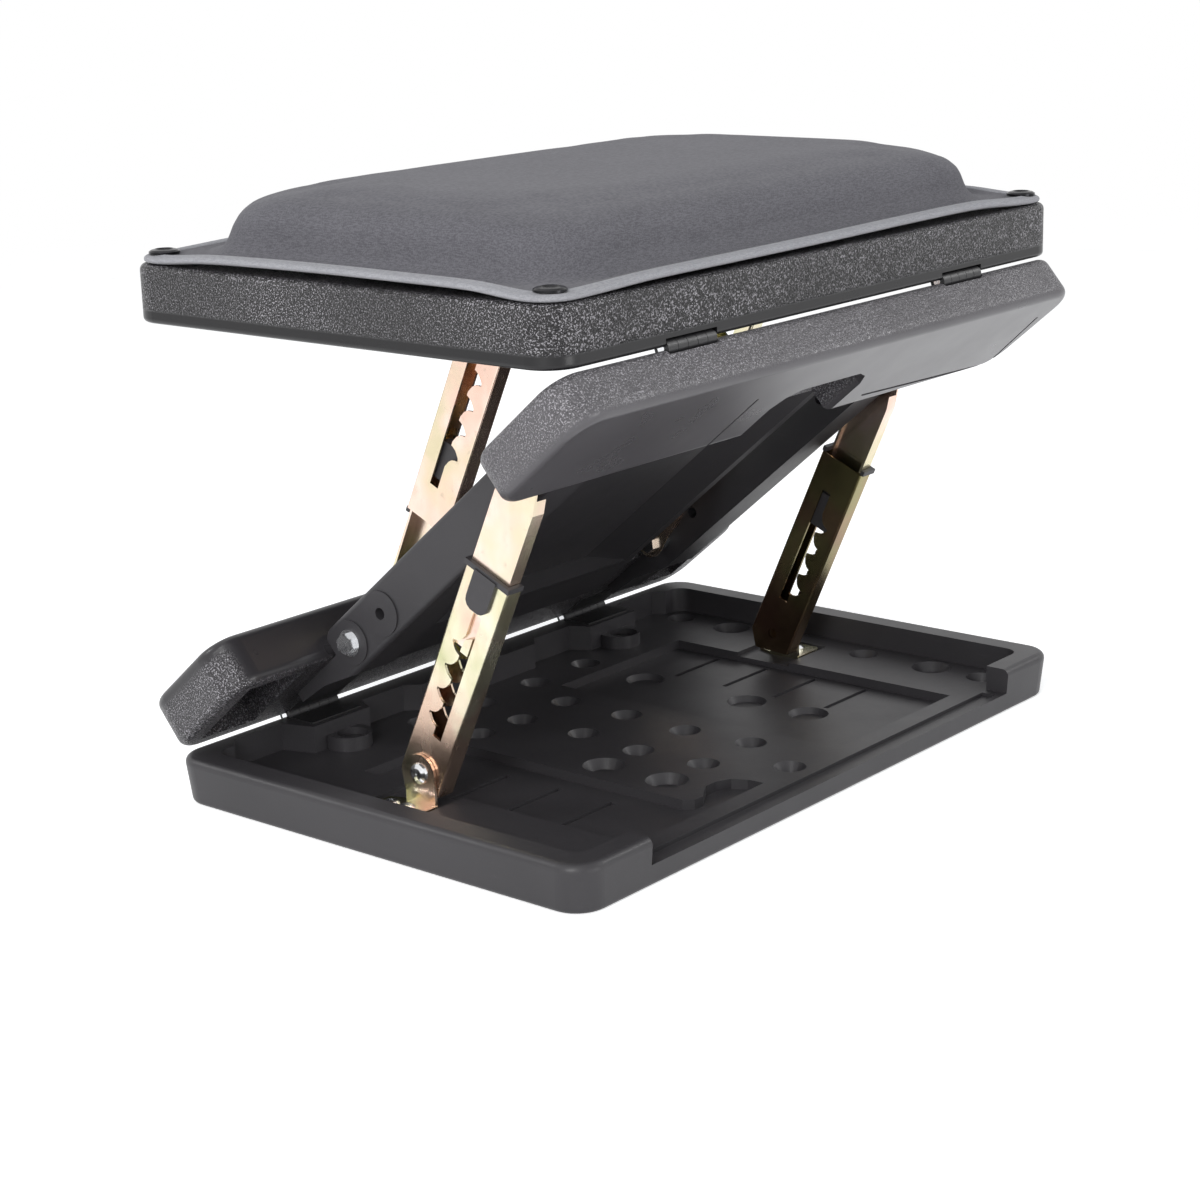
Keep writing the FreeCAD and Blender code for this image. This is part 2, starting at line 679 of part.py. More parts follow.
# Flaps: in their own place the hinge line is the origin and the flap hangs below it
def flap(label, tilt, y, z, thickness, strut_low, strut_high):
    """strut_low and strut_high bound the strut ends that swing up to this flap, across X."""
    body = keep(new_body(label, tilt, y, z))
    inner = flap_width - hinge_inset
    shape = new_sketch(body, label + "_outline", "XY_Plane", -hinge_gap)
    rectangle(shape, -half_width, -hinge_inset, half_width, inner)
    pad(body, label + "_block", shape, thickness, back=True)
    fillet(body, label + "_corners", flap_corner, lambda e: runs(e, 2, thickness.value * 0.9))
    fillet(body, label + "_edges", flap_round,
           lambda e: flat_at(e, -(hinge_gap + thickness).value)
           or (flat_at(e, -hinge_gap.value) and e.CenterOfMass.y < inner.value - 3))
    far = -hinge_gap - thickness
    shape = new_sketch(body, label + "_scoop_outline", "XY_Plane", far)
    reach = inner - scoop_depth
    outline(shape, [
        (scoop_x - scoop_half, inner + 2), (scoop_x - scoop_half, reach + 14),
        (scoop_x - scoop_half + 5, reach + 5), (scoop_x - scoop_half + 15, reach),
        (scoop_x + scoop_half - 15, reach), (scoop_x + scoop_half - 5, reach + 5),
        (scoop_x + scoop_half, reach + 14), (scoop_x + scoop_half, inner + 2),
    ])
    pocket(body, label + "_scoop", shape, scoop_height, back=True)
    shape = new_sketch(body, label + "_groove_outline", "XY_Plane", far)
    rectangle(shape, scoop_x - scoop_half - 29, inner - 46, scoop_x - scoop_half - 27, inner)
    outline(shape, [
        (71, inner - 12), (73, inner - 10), (212, inner - 2), (214, inner - 2),
        (206, inner - 52), (204, inner - 52), (211.5, inner - 4.5), (73, inner - 12),
    ])
    pocket(body, label + "_grooves", shape, 0.8, back=True)
    shape = new_sketch(body, label + "_hollow_outline", "XY_Plane", -hinge_gap)
    for hand in (-1, 1):
        rectangle(shape, hand * (bracket_inner + relief_side + 4), 8, hand * (half_width - 14),
                  inner - 9)
    pocket(body, label + "_hollows", shape, thickness - 9)
    shape = new_sketch(body, label + "_relief_outline", "XY_Plane", -hinge_gap)
    for hand in (-1, 1):
        rectangle(shape, hand * (strut_low - relief_side), inner - relief_reach,
                  hand * (strut_high + relief_side), inner + 2)
    pocket(body, label + "_reliefs", shape, relief_depth)
    shape = new_sketch(body, label + "_seats_outline", "XY_Plane", -hinge_gap)
    for hand in (-1, 1):
        middle = hand * hinge_place
        rectangle(shape, middle - seat_half, -hinge_inset - 2, middle + seat_half, seat_reach)
    pocket(body, label + "_seats", shape, seat_reach - hinge_gap)
    return body


scoop_x = size("scoop_x", 10)
scoop_half = size("scoop_half", 41)
scoop_depth = size("scoop_depth", 42)
scoop_height = size("scoop_height", 15)
doc.recompute()
flap("lift_flap_lower", 180 - fold_angle, hinge_y, hinge_z, top_thickness,
     upper_edge - channel_depth - bolt_head_height, arm_inner)
flap("lift_flap_upper", -fold_angle, upper_hinge_y, upper_hinge_z, base_height,
     arm_outer, lower_edge + channel_depth + bolt_head_height)


# Hinges: each leaf has its own knuckles on the shared pin
def leaf(label, x, tilt, y, z, lower, first):
    """One leaf in the hinge's own place, reaching towards -Y, under or over the hinge plane."""
    step = hinge_length / 5
    pieces = []
    low = -hinge_gap if lower else hinge_gap - leaf_thickness
    strip = doc.addObject("Part::Box", label + "_strip")
    bind(strip, "Length", hinge_length)
    bind(strip, "Width", leaf_reach - seat_reach)
    bind(strip, "Height", leaf_thickness)
    place(strip, None, -leaf_reach, low, -hinge_length / 2)
    pieces.append(strip)
    for n in range(first, 5, 2):
        start = n * step - hinge_length / 2 + knuckle_clearance / 2
        barrel = doc.addObject("Part::Cylinder", label + "_barrel%d" % n)
        bind(barrel, "Radius", barrel_radius)
        bind(barrel, "Height", step - knuckle_clearance)
        barrel.Placement = FreeCAD.Placement(V(0, 0, 0), FreeCAD.Rotation(V(0, 1, 0), 90))
        bind(barrel, "Placement.Base.x", start)
        pieces.append(barrel)
        web = doc.addObject("Part::Box", label + "_web%d" % n)
        bind(web, "Length", step - knuckle_clearance)
        bind(web, "Width", seat_reach + 0.5)
        bind(web, "Height", leaf_thickness)
        place(web, None, -seat_reach - 0.5, low, start)
        pieces.append(web)
    joined = doc.addObject("Part::MultiFuse", label + "_joined")
    joined.Shapes = pieces
    bore = doc.addObject("Part::Cylinder", label + "_bore")
    bind(bore, "Radius", pin_radius + pin_clearance)
    bind(bore, "Height", hinge_length + 4)
    bore.Placement = FreeCAD.Placement(V(0, 0, 0), FreeCAD.Rotation(V(0, 1, 0), 90))
    bind(bore, "Placement.Base.x", -hinge_length / 2 - 2)
    cut = doc.addObject("Part::Cut", label)
    cut.Label = label
    cut.Base = joined
    cut.Tool = bore
    place(cut, tilt, y, z, x)
    return keep(cut)


def pins(label, y, z):
    """The two pins of one hinge line."""
    made = []
    for hand, word in ((-1, "left"), (1, "right")):
        pin = doc.addObject("Part::Cylinder", label + "_" + word)
        bind(pin, "Radius", pin_radius)
        bind(pin, "Height", hinge_length + 1)
        pin.Placement = FreeCAD.Placement(V(0, 0, 0), FreeCAD.Rotation(V(0, 1, 0), 90))
        bind(pin, "Placement.Base.x", hand * hinge_place - hinge_length / 2 - 0.5)
        bind(pin, "Placement.Base.y", y)
        bind(pin, "Placement.Base.z", z)
        made.append(pin)
    group = doc.addObject("Part::Compound", label)
    group.Label = label
    group.Links = made
    return keep(group)


for hand, word in ((-1, "left"), (1, "right")):
    spot = hand * hinge_place
    leaf("base_hinge_leaf_" + word, spot, None, hinge_y, hinge_z, True, 0)
    leaf("lift_hinge_leaf_lower_" + word, spot, -fold_angle, hinge_y, hinge_z, False, 1)
    leaf("top_hinge_leaf_" + word, spot, 180, upper_hinge_y, upper_hinge_z, True, 0)
    leaf("lift_hinge_leaf_upper_" + word, spot, 180 - fold_angle, upper_hinge_y, upper_hinge_z,
         False, 1)
pins("base_hinge_pins", hinge_y, hinge_z)
pins("top_hinge_pins", upper_hinge_y, upper_hinge_z)


# Struts: modelled along +Z from the lower pivot, with X across and Y to the notched side
def strut(word, edge, out, hook, tilt, y, z, span):
    """One telescopic strut.

    edge is the free edge of the channel on X, out the way the web lies from it, hook the
    side of Y that carries the notches.
    """

    def across(depth_in):
        return edge + out * depth_in

    def side_points(points):
        return [(hook * as_size(a), b) for a, b in points]

    web = across(channel_depth)
    inside = across(channel_depth - sheet_steel)

    body = keep(new_body("strut_channel_" + word, tilt, y, z))
    shape = new_sketch(body, "channel_section_" + word, "XY_Plane", -channel_toe)
    wall = channel_half - sheet_steel
    outline(shape, [
        (edge, -channel_half), (web, -channel_half), (web, channel_half), (edge, channel_half),
    ])
    cover = across(back_steel)
    outline(shape, [(cover, -wall), (inside, -wall), (inside, wall), (cover, wall)])
    pad(body, "channel_bar_" + word, shape, channel_length + channel_toe)
    fillet(body, "channel_bends_" + word, bend_radius,
           lambda e: runs(e, 2, 50) and near(e.CenterOfMass.x, web.value, 0.01))
    fillet(body, "channel_back_edges_" + word, back_steel - 0.2,
           lambda e: runs(e, 2, 50) and near(e.CenterOfMass.x, edge.value, 0.01))
    fillet(body, "channel_inner_bends_" + word, bend_radius - sheet_steel,
           lambda e: runs(e, 2, 50) and near(e.CenterOfMass.x, inside.value, 0.01)
           and near(abs(e.CenterOfMass.y), wall.value, 0.01))
    shape = new_sketch(body, "channel_end_" + word, "YZ_Plane")
    beyond = channel_half + 2
    outline(shape, [
        (-beyond, -channel_toe - 2), (beyond, -channel_toe - 2), (beyond, -channel_heel + 4.4),
        (channel_half, -channel_heel + 2), (channel_half / 2, -channel_toe),
        (-channel_half, -channel_heel), (-beyond, -channel_heel),
    ])
    pocket(body, "channel_end_cut_" + word, shape, 400, both=True)
    shape = new_sketch(body, "channel_slot_outline_" + word, "YZ_Plane")
    outline(shape, side_points([
        (-slot_back, slot_start), (slot_width - slot_back, slot_start),
        (slot_width - slot_back, slot_end), (-slot_back, slot_end),
    ]))
    pocket(body, "channel_slot_" + word, shape, 400, both=True)
    shape = new_sketch(body, "channel_notch_outline_" + word, "YZ_Plane")
    face = slot_width - slot_back
    outline(shape, side_points([
        (face - 0.5, notch_first + 8), (face + 0.6, notch_first + 5.5),
        (face + notch_depth * 0.22, notch_first + 3.2),
        (face + notch_depth * 0.45, notch_first + 1.4),
        (face + notch_depth * 0.72, notch_first + 0.5), (face + notch_depth, notch_first),
        (face + notch_depth * 0.95, notch_first - 1.6),
        (face + notch_depth * 0.8, notch_first - 2.8),
        (face + notch_depth * 0.5, notch_first - 4.8), (face + 1.2, notch_first - 5.8),
        (face - 0.5, notch_first - 6.2),
    ]))
    notch = pocket(body, "channel_notch_" + word, shape, 400, both=True)
    ladder = body.newObject("PartDesign::LinearPattern", "channel_notches_" + word)
    ladder.Originals = [notch]
    ladder.Direction = (shape, ["V_Axis"])
    bind(ladder, "Length", notch_pitch * (notch_count - 1))
    ladder.Occurrences = notch_count
    body.Tip = ladder
    finish(ladder)
    shape = new_sketch(body, "channel_pivot_outline_" + word, "YZ_Plane")
    circle(shape, 0, 0, rivet_shank + pin_clearance)
    pocket(body, "channel_pivot_" + word, shape, 400, both=True)

    # Dark plastic cap on the channel's open end, with a tab down its face
    body = keep(new_body("strut_cap_" + word, tilt, y, z))
    proud = across(channel_depth + cap_proud)
    wide = channel_half + cap_proud
    shape = new_sketch(body, "cap_section_" + word, "XY_Plane", channel_length)
    outline(shape, [
        (edge + out * 1, -wide), (proud, -wide), (proud, wide), (edge + out * 1, wide),
        (edge + out * 1, wall), (inside, wall), (inside, -wall), (edge + out * 1, -wall),
    ])
    pad(body, "cap_rim_" + word, shape, cap_height)
    shape = new_sketch(body, "cap_tab_outline_" + word, "YZ_Plane", web)
    outline(shape, [
        (-cap_tab_half, channel_length + cap_height / 2),
        (cap_tab_half, channel_length + cap_height / 2),
        (cap_tab_half, channel_length - cap_tab + 5.5),
        (cap_tab_half - 0.6, channel_length - cap_tab + 3),
        (cap_tab_half - 2.4, channel_length - cap_tab + 1),
        (cap_tab_half - 5, channel_length - cap_tab),
        (-cap_tab_half + 5, channel_length - cap_tab),
        (-cap_tab_half + 2.4, channel_length - cap_tab + 1),
        (-cap_tab_half + 0.6, channel_length - cap_tab + 3),
        (-cap_tab_half, channel_length - cap_tab + 5.5),
    ])
    pad(body, "cap_tab_" + word, shape, cap_proud * 2, back=(out < 0))

    # Sliding inner channel that ends in a round tongue
    body = keep(new_body("strut_slider_" + word, tilt, y, z))
    skin = across(channel_depth - sheet_steel - slide_clearance)
    skin_in = across(channel_depth - sheet_steel * 2 - slide_clearance)
    half = wall - slide_clearance
    shape = new_sketch(body, "slider_section_" + word, "XY_Plane", slider_low)
    flange = across(channel_depth - sheet_steel - slide_clearance - slider_flange)
    lip = across(channel_depth - sheet_steel - slide_clearance - slider_lip)
    outline(shape, [
        (flange, -half), (skin, -half), (skin, half), (lip, half), (lip, half - sheet_steel),
        (skin_in, half - sheet_steel), (skin_in, -half + sheet_steel),
        (flange, -half + sheet_steel),
    ])
    pad(body, "slider_bar_" + word, shape, span - slider_low + tongue_radius)
    shape = new_sketch(body, "slider_end_" + word, "YZ_Plane")
    for turn in (-1, 1):
        outline(shape, [
            (turn * (half + 2), span - tongue_taper - 8), (turn * half, span - tongue_taper),
            (turn * (tongue_radius + 1), span - 9), (turn * tongue_radius, span),
            (turn * tongue_radius * 0.87, span + tongue_radius * 0.5),
            (turn * tongue_radius * 0.5, span + tongue_radius * 0.87),
            (turn * 1, span + tongue_radius), (turn * 1, span + tongue_radius + 4),
            (turn * (half + 2), span + tongue_radius + 4),
        ])
    pocket(body, "slider_end_cut_" + word, shape, 400, both=True)
    shape = new_sketch(body, "slider_hole_outline_" + word, "YZ_Plane")
    circle(shape, 0, span, bolt_shank + pin_clearance)
    pocket(body, "slider_hole_" + word, shape, 400, both=True)

    # Pawl plate that reaches through the slot, and its dark spring block behind the web
    catch = notch_first + notch_pitch * (notch_count - 1)
    body = keep(new_body("strut_pawl_" + word, tilt, y, z))
    shape = new_sketch(body, "pawl_outline_" + word, "YZ_Plane", skin)
    outline(shape, side_points([
        (-slot_back + 0.5, catch - pawl_thickness), (face - 0.4, catch - pawl_thickness),
        (face - 0.4, catch - 1), (face - 1.2, catch + pawl_thickness + 2),
        (-slot_back + 0.5, catch + pawl_thickness + 5),
    ]))
    pad(body, "pawl_plate_" + word, shape, sheet_steel + 1.2, back=(out < 0))

    body = keep(new_body("strut_spring_" + word, tilt, y, z))
    shape = new_sketch(body, "spring_outline_" + word, "YZ_Plane", skin_in)
    rectangle(shape, -7, catch - 4, 7, catch + 18)
    pad(body, "spring_block_" + word, shape, slider_flange - 3, back=(out > 0))

    # Pivot rivet through the channel and the bracket's ear
    body = keep(new_body("strut_rivet_" + word, tilt, y, z))
    outer = across(channel_depth + bracket_clearance + bracket_steel)
    turned(body, "rivet_" + word, [
        (inside, 0), (inside - out * 1.2, 0), (inside - out * 1.2, rivet_shank + 1.5),
        (inside, rivet_shank + 1.5), (inside, rivet_shank), (outer, rivet_shank),
        (outer, rivet_head), (outer + out * rivet_dome * 0.45, rivet_head * 0.9),
        (outer + out * rivet_dome * 0.85, rivet_head * 0.55), (outer + out * rivet_dome, 0),
    ])

    # Tongue bolt with its spacer against the arm
    if word.startswith("lower"):
        arm_face = out * (arm_outer + pad_proud + open_gap)
    else:
        arm_face = -out * (arm_inner - open_gap)
    body = keep(new_body("strut_bolt_" + word, tilt, y, z))
    shape = new_sketch(body, "spacer_outline_" + word, "YZ_Plane", skin_in)
    circle(shape, 0, span, spacer_radius)
    reach = (out * (skin_in - arm_face))
    pad(body, "spacer_" + word, shape, reach, back=(out > 0))
    shape = new_sketch(body, "shank_outline_" + word, "YZ_Plane", skin_in)
    circle(shape, 0, span, bolt_shank)
    pad(body, "shank_" + word, shape, sheet_steel, back=(out < 0))
    shape = new_sketch(body, "head_outline_" + word, "YZ_Plane", skin)
    outline(shape, [
        (bolt_head * math.cos(math.radians(a)), span + bolt_head * math.sin(math.radians(a)))
        for a in range(0, 360, 60)
    ])
    pad(body, "head_" + word, shape, bolt_head_height * 0.8, back=(out < 0))


for word, hand, hook in (("lower_left", -1, 1), ("lower_right", 1, -1)):
    strut(word, hand * lower_edge, hand, hook, strut_tilt, foot_y, foot_z, strut_reach)
for word, hand, hook in (("upper_left", -1, 1), ("upper_right", 1, -1)):
    strut(word, hand * upper_edge, -hand, hook, 180 + strut_tilt, upper_hinge_y + strut_foot,
          upper_hinge_z + strut_drop, strut_reach)


# Strut brackets: an upright ear with a foot bent away from the channel
def bracket(label, inner, out, tilt, y, z, floor):
    """floor is how far the seat lies below the pivot."""
    body = keep(new_body(label, tilt, y, z))
    outer = inner + out * bracket_steel
    shape = new_sketch(body, label + "_ear_outline", "YZ_Plane", inner)
    arch = [
        (ear_half * math.cos(math.radians(a)), ear_half * math.sin(math.radians(a)))
        for a in range(0, 181, 20)
    ]
    outline(shape, arch + [(-ear_half, -floor), (ear_half, -floor)])
    pad(body, label + "_ear", shape, bracket_steel, back=(out < 0))
    shape = new_sketch(body, label + "_foot_outline", "XY_Plane", -floor)
    outline(shape, [
        (inner, -foot_start), (inner + out * (foot_reach - 3), -foot_start),
        (inner + out * foot_reach, -foot_start + 3), (inner + out * foot_reach, foot_end - 3),
        (inner + out * (foot_reach - 3), foot_end), (outer + out * 2, foot_end),
        (inner, ear_half),
    ])
    pad(body, label + "_foot", shape, bracket_steel)
    shape = new_sketch(body, label + "_pivot_outline", "YZ_Plane")
    circle(shape, 0, 0, rivet_shank + pin_clearance)
    pocket(body, label + "_pivot", shape, 400, both=True)
    shape = new_sketch(body, label + "_screw_outline", "XY_Plane", -floor)
    for along in (screw_one, screw_two):
        circle(shape, inner + out * screw_out, along, screw_shank + pin_clearance)
    pocket(body, label + "_screw_holes", shape, bracket_steel * 2, both=True)


lower_floor = foot_z - foot_pocket
upper_floor = (top_ceiling - strut_drop)
for hand, word in ((-1, "left"), (1, "right")):
    bracket("bracket_lower_" + word, hand * bracket_inner, hand, None, foot_y, foot_z, lower_floor)
    bracket("bracket_upper_" + word, hand * upper_inner, -hand, 180, upper_hinge_y + strut_foot,
            upper_hinge_z + strut_drop, upper_floor)


# Fasteners: one body for each kind and a placed copy for every hole
def upright_fastener(name, corners, slot_depth):
    """A screw with its head up: corners given as (radius, height), turned about Z."""
    body = doc.addObject("PartDesign::Body", name)
    body.Label = name
    sketch = new_sketch(body, name + "_profile", "XZ_Plane")
    outline(sketch, corners)
    item = body.newObject("PartDesign::Revolution", name + "_turn")
    item.Profile = sketch
    item.ReferenceAxis = (sketch, ["V_Axis"])
    item.Angle = 360
    finish(item)
    sketch = new_sketch(body, name + "_cross_outline", "XY_Plane", slot_depth + 3)
    outline(sketch, [
        (-2.6, -0.5), (-0.5, -0.5), (-0.5, -2.6), (0.5, -2.6), (0.5, -0.5), (2.6, -0.5),
        (2.6, 0.5), (0.5, 0.5), (0.5, 2.6), (-0.5, 2.6), (-0.5, 0.5), (-2.6, 0.5),
    ])
    pocket(body, name + "_cross", sketch, 3 + slot_depth * 0.5)
    return body


screw = upright_fastener("pan_screw", [
    (0, -screw_length - bracket_steel + 0.5), (screw_shank, -screw_length - bracket_steel + 0.5),
    (screw_shank, 0), (screw_head, 0), (screw_head, screw_head_height * 0.45),
    (screw_head * 0.72, screw_head_height * 0.85), (screw_head * 0.3, screw_head_height),
    (0, screw_head_height),
], screw_head_height)


def group(label, members):
    item = doc.addObject("Part::Compound", label)
    item.Label = label
    item.Links = members
    return keep(item)


members = []
for hand, word in ((-1, "left"), (1, "right")):
    for along, mark in ((screw_one, "a"), (screw_two, "b")):
        members.append(placed_copy(screw, "lower_screw_" + word + mark,
                                  hand * (bracket_inner + screw_out), foot_y + along,
                                  foot_pocket + bracket_steel, None))
group("bracket_screws_lower", members)
members = []
for hand, word in ((-1, "left"), (1, "right")):
    for along, mark in ((screw_one, "a"), (screw_two, "b")):
        members.append(placed_copy(screw, "upper_screw_" + word + mark,
                                  hand * (upper_inner - screw_out),
                                  upper_hinge_y + strut_foot - along,
                                  upper_hinge_z + top_ceiling - bracket_steel, 180))
group("bracket_screws_upper", members)


# Bolts of the upper struts: a hexagon head and washer on the outer pad of each arm
def arm_bolt(label, hand):
    body = new_body(label, -fold_angle, hinge_y, hinge_z)
    pad_face = hand * (arm_outer + pad_proud)
    shape = new_sketch(body, label + "_shank_outline", "YZ_Plane", hand * arm_inner)
    circle(shape, -pivot_reach, 0, bolt_shank)
    pad(body, label + "_shank", shape, arm_outer + pad_proud - arm_inner, back=(hand < 0))
    shape = new_sketch(body, label + "_washer_outline", "YZ_Plane", pad_face)
    circle(shape, -pivot_reach, 0, washer_radius)
    pad(body, label + "_washer", shape, washer_thickness, back=(hand < 0))
    shape = new_sketch(body, label + "_head_outline", "YZ_Plane",
                       pad_face + hand * washer_thickness)
    outline(shape, [
        (-pivot_reach + bolt_head * math.cos(math.radians(a)),
         bolt_head * math.sin(math.radians(a))) for a in range(0, 360, 60)
    ])
    pad(body, label + "_head", shape, bolt_head_height, back=(hand < 0))
    return body


group("arm_bolts", [arm_bolt("arm_bolt_left", -1), arm_bolt("arm_bolt_right", 1)])


# Nuts of the lower struts: a hexagon nut and the bolt's end inside each arm
def arm_nut(label, hand):
    body = new_body(label, -fold_angle, hinge_y, hinge_z)
    shape = new_sketch(body, label + "_shank_outline", "YZ_Plane", hand * arm_inner)
    circle(shape, -arm_pivot, 0, bolt_shank)
    pad(body, label + "_shank", shape, arm_outer + pad_proud - arm_inner, back=(hand < 0))
    shape = new_sketch(body, label + "_nut_outline", "YZ_Plane", hand * arm_inner)
    outline(shape, [
        (-arm_pivot + bolt_head * math.cos(math.radians(a)),
         bolt_head * math.sin(math.radians(a))) for a in range(0, 360, 60)
    ])
    pad(body, label + "_nut", shape, bolt_head_height, back=(hand > 0))
    return body


group("arm_nuts", [arm_nut("arm_nut_left", -1), arm_nut("arm_nut_right", 1)])


# Cushion: a thin skirt on the top tray and a soft dome with drawn-in sides
cushion = keep(new_body("cushion_pad", None, upper_hinge_y, upper_hinge_z))
cushion_base = top_face + cushion_clearance
skirt_out = half_width - cushion_inset - hem_width
skirt_heel = top_heel + cushion_inset + hem_width
skirt_toe = top_toe - cushion_inset - hem_width
shape = new_sketch(cushion, "skirt_outline", "XY_Plane", cushion_base)
rectangle(shape, -skirt_out, skirt_heel, skirt_out, skirt_toe)
pad(cushion, "skirt", shape, skirt_thickness)
fillet(cushion, "skirt_corners", corner_radius - 8, lambda e: runs(e, 2, 3))


def rounded_section(body, name, level, across, along, radius):
    """A rectangle with quarter-round corners: four lines and four arcs."""
    sketch = new_sketch(body, name, "XY_Plane", level)
    corners = [(1, -1, -90), (1, 1, 0), (-1, 1, 90), (-1, -1, 180)]
    for right, up, start in corners:
        centre_x = right * (across - radius)
        centre_y = middle_y + up * (along - radius)
        ring = Part.Circle(V(centre_x.value, centre_y.value, 0), V(0, 0, 1), radius.value)
        arc = Part.ArcOfCircle(ring, math.radians(start), math.radians(start + 90))
        number = sketch.GeometryCount
        sketch.addGeometry(arc, False)
        hold(sketch, number, 3, centre_x, centre_y)
    for n in range(4):
        start = sketch.getPoint(n, 2)
        end = sketch.getPoint((n + 1) % 4, 1)
        sketch.addGeometry(Part.LineSegment(start, end), False)
    joints = []
    for n in range(4):
        joints.append(Sketcher.Constraint("Tangent", n, 2, 4 + n, 1))
        joints.append(Sketcher.Constraint("Tangent", 4 + n, 2, (n + 1) % 4, 1))
    sketch.addConstraint(joints)
    first = sketch.ConstraintCount
    sketch.addConstraint(Sketcher.Constraint("Radius", 0, radius.value))
    sketch.setExpression("Constraints[%d]" % first, radius.text)
    doc.recompute()
    return sketch


levels = [
    (0.0, 0.0, 0.0), (0.18, 1.0, 0.0), (0.36, 2.3, 0.4), (0.53, 4.0, 1.0), (0.67, 6.4, 2.2),
    (0.78, 10.0, 3.8), (0.86, 15.2, 5.5), (0.915, 22.5, 7.5), (0.955, 32.0, 9.0),
    (0.983, 43.5, 10.5), (1.0, 57.0, 12.0),
]
dome = cushion.newObject("PartDesign::AdditiveLoft", "dome")
sections = []
for number, (share, inset, grow) in enumerate(levels):
    sections.append(rounded_section(
        cushion, "dome_section_%d" % number,
        cushion_base + skirt_thickness - 0.4 + (dome_height - skirt_thickness + 0.4) * share,
        dome_half_width - inset, dome_half_depth - inset, dome_corner + grow))
dome.Profile = sections[0]
dome.Sections = sections[1:]
dome.Ruled = False
finish(dome)
shape = new_sketch(cushion, "cushion_hollow_outline", "XY_Plane", cushion_base)
hollow_half = bump_pitch * (bump_columns - 1) / 2 + 8
rectangle(shape, -hollow_half, middle_y - bump_pitch * 1.95 - 8, hollow_half,
          middle_y + bump_pitch * 1.95 + 8)
pocket(cushion, "cushion_hollow", shape, bump_height + cushion_clearance, back=True)

# Hem: the bound edge of the cover, round the skirt, with a hole at each snap
hem = keep(new_body("cushion_hem", None, upper_hinge_y, upper_hinge_z))
shape = new_sketch(hem, "hem_outline", "XY_Plane", cushion_base)
rectangle(shape, -half_width + cushion_inset, top_heel + cushion_inset,
          half_width - cushion_inset, top_toe - cushion_inset)
pad(hem, "hem_plate", shape, hem_thickness)
fillet(hem, "hem_corners", corner_radius, lambda e: runs(e, 2, 3))
shape = new_sketch(hem, "hem_opening_outline", "XY_Plane", cushion_base)
rectangle(shape, -skirt_out, skirt_heel, skirt_out, skirt_toe)
pocket(hem, "hem_opening", shape, hem_thickness + 1, back=True)
fillet(hem, "hem_opening_corners", corner_radius - 8,
       lambda e: runs(e, 2, 3) and near(abs(e.CenterOfMass.x), skirt_out.value))

# Snaps at the four corners: studs on the tray, caps on the hem
snap_places = []
for hand, word in ((-1, "left"), (1, "right")):
    snap_places.append((word + "_heel", hand * snap_out, top_heel + snap_inset))
    snap_places.append((word + "_toe", hand * snap_out, top_toe - snap_inset))
for body, far in ((cushion, skirt_thickness), (hem, hem_thickness)):
    shape = new_sketch(body, body.Name + "_snap_holes_outline", "XY_Plane", cushion_base)
    for word, x, y in snap_places:
        circle(shape, x, y, stud_radius + cushion_clearance)
    pocket(body, body.Name + "_snap_holes", shape, far + 1, back=True)
cap = upright_fastener("snap_cap", [
    (0, 0), (snap_radius, 0), (snap_radius, snap_height * 0.45),
    (snap_radius * 0.85, snap_height * 0.8), (snap_radius * 0.6, snap_height),
    (snap_radius * 0.45, snap_height * 0.6), (0, snap_height * 0.6),
], snap_height * 0.5)
stud = doc.addObject("PartDesign::Body", "snap_stud")
shape = new_sketch(stud, "stud_outline", "XY_Plane")
circle(shape, 0, 0, stud_radius)
pad(stud, "stud_post", shape, stud_height)
group("snap_caps", [
    placed_copy(cap, "snap_cap_" + word, x, upper_hinge_y + y,
               upper_hinge_z + cushion_base + hem_thickness, None)
    for word, x, y in snap_places
])
group("snap_studs", [
    placed_copy(stud, "snap_stud_" + word, x, upper_hinge_y + y, upper_hinge_z + top_face, None)
    for word, x, y in snap_places
])

# Check everything, then write one file for each piece
doc.recompute()
faults = []
for item in doc.Objects:
    for state in item.State:
        if state in ("Invalid", "Error"):
            faults.append(item.Name + ": " + state)
for item in parts:
    if item.Shape.isNull() or not item.Shape.isValid() or not item.Shape.Solids:
        faults.append(item.Label + ": no valid solid")
if faults:
    raise RuntimeError("; ".join(faults))
os.makedirs("parts", exist_ok=True)
for item in parts:
    item.Shape.exportStep("parts/" + item.Label + ".step")
    print(item.Label, len(item.Shape.Solids), round(item.Shape.Volume / 1000, 1), "cm3")
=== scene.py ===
import math

import bpy
import numpy as np
from mathutils import Matrix, Vector


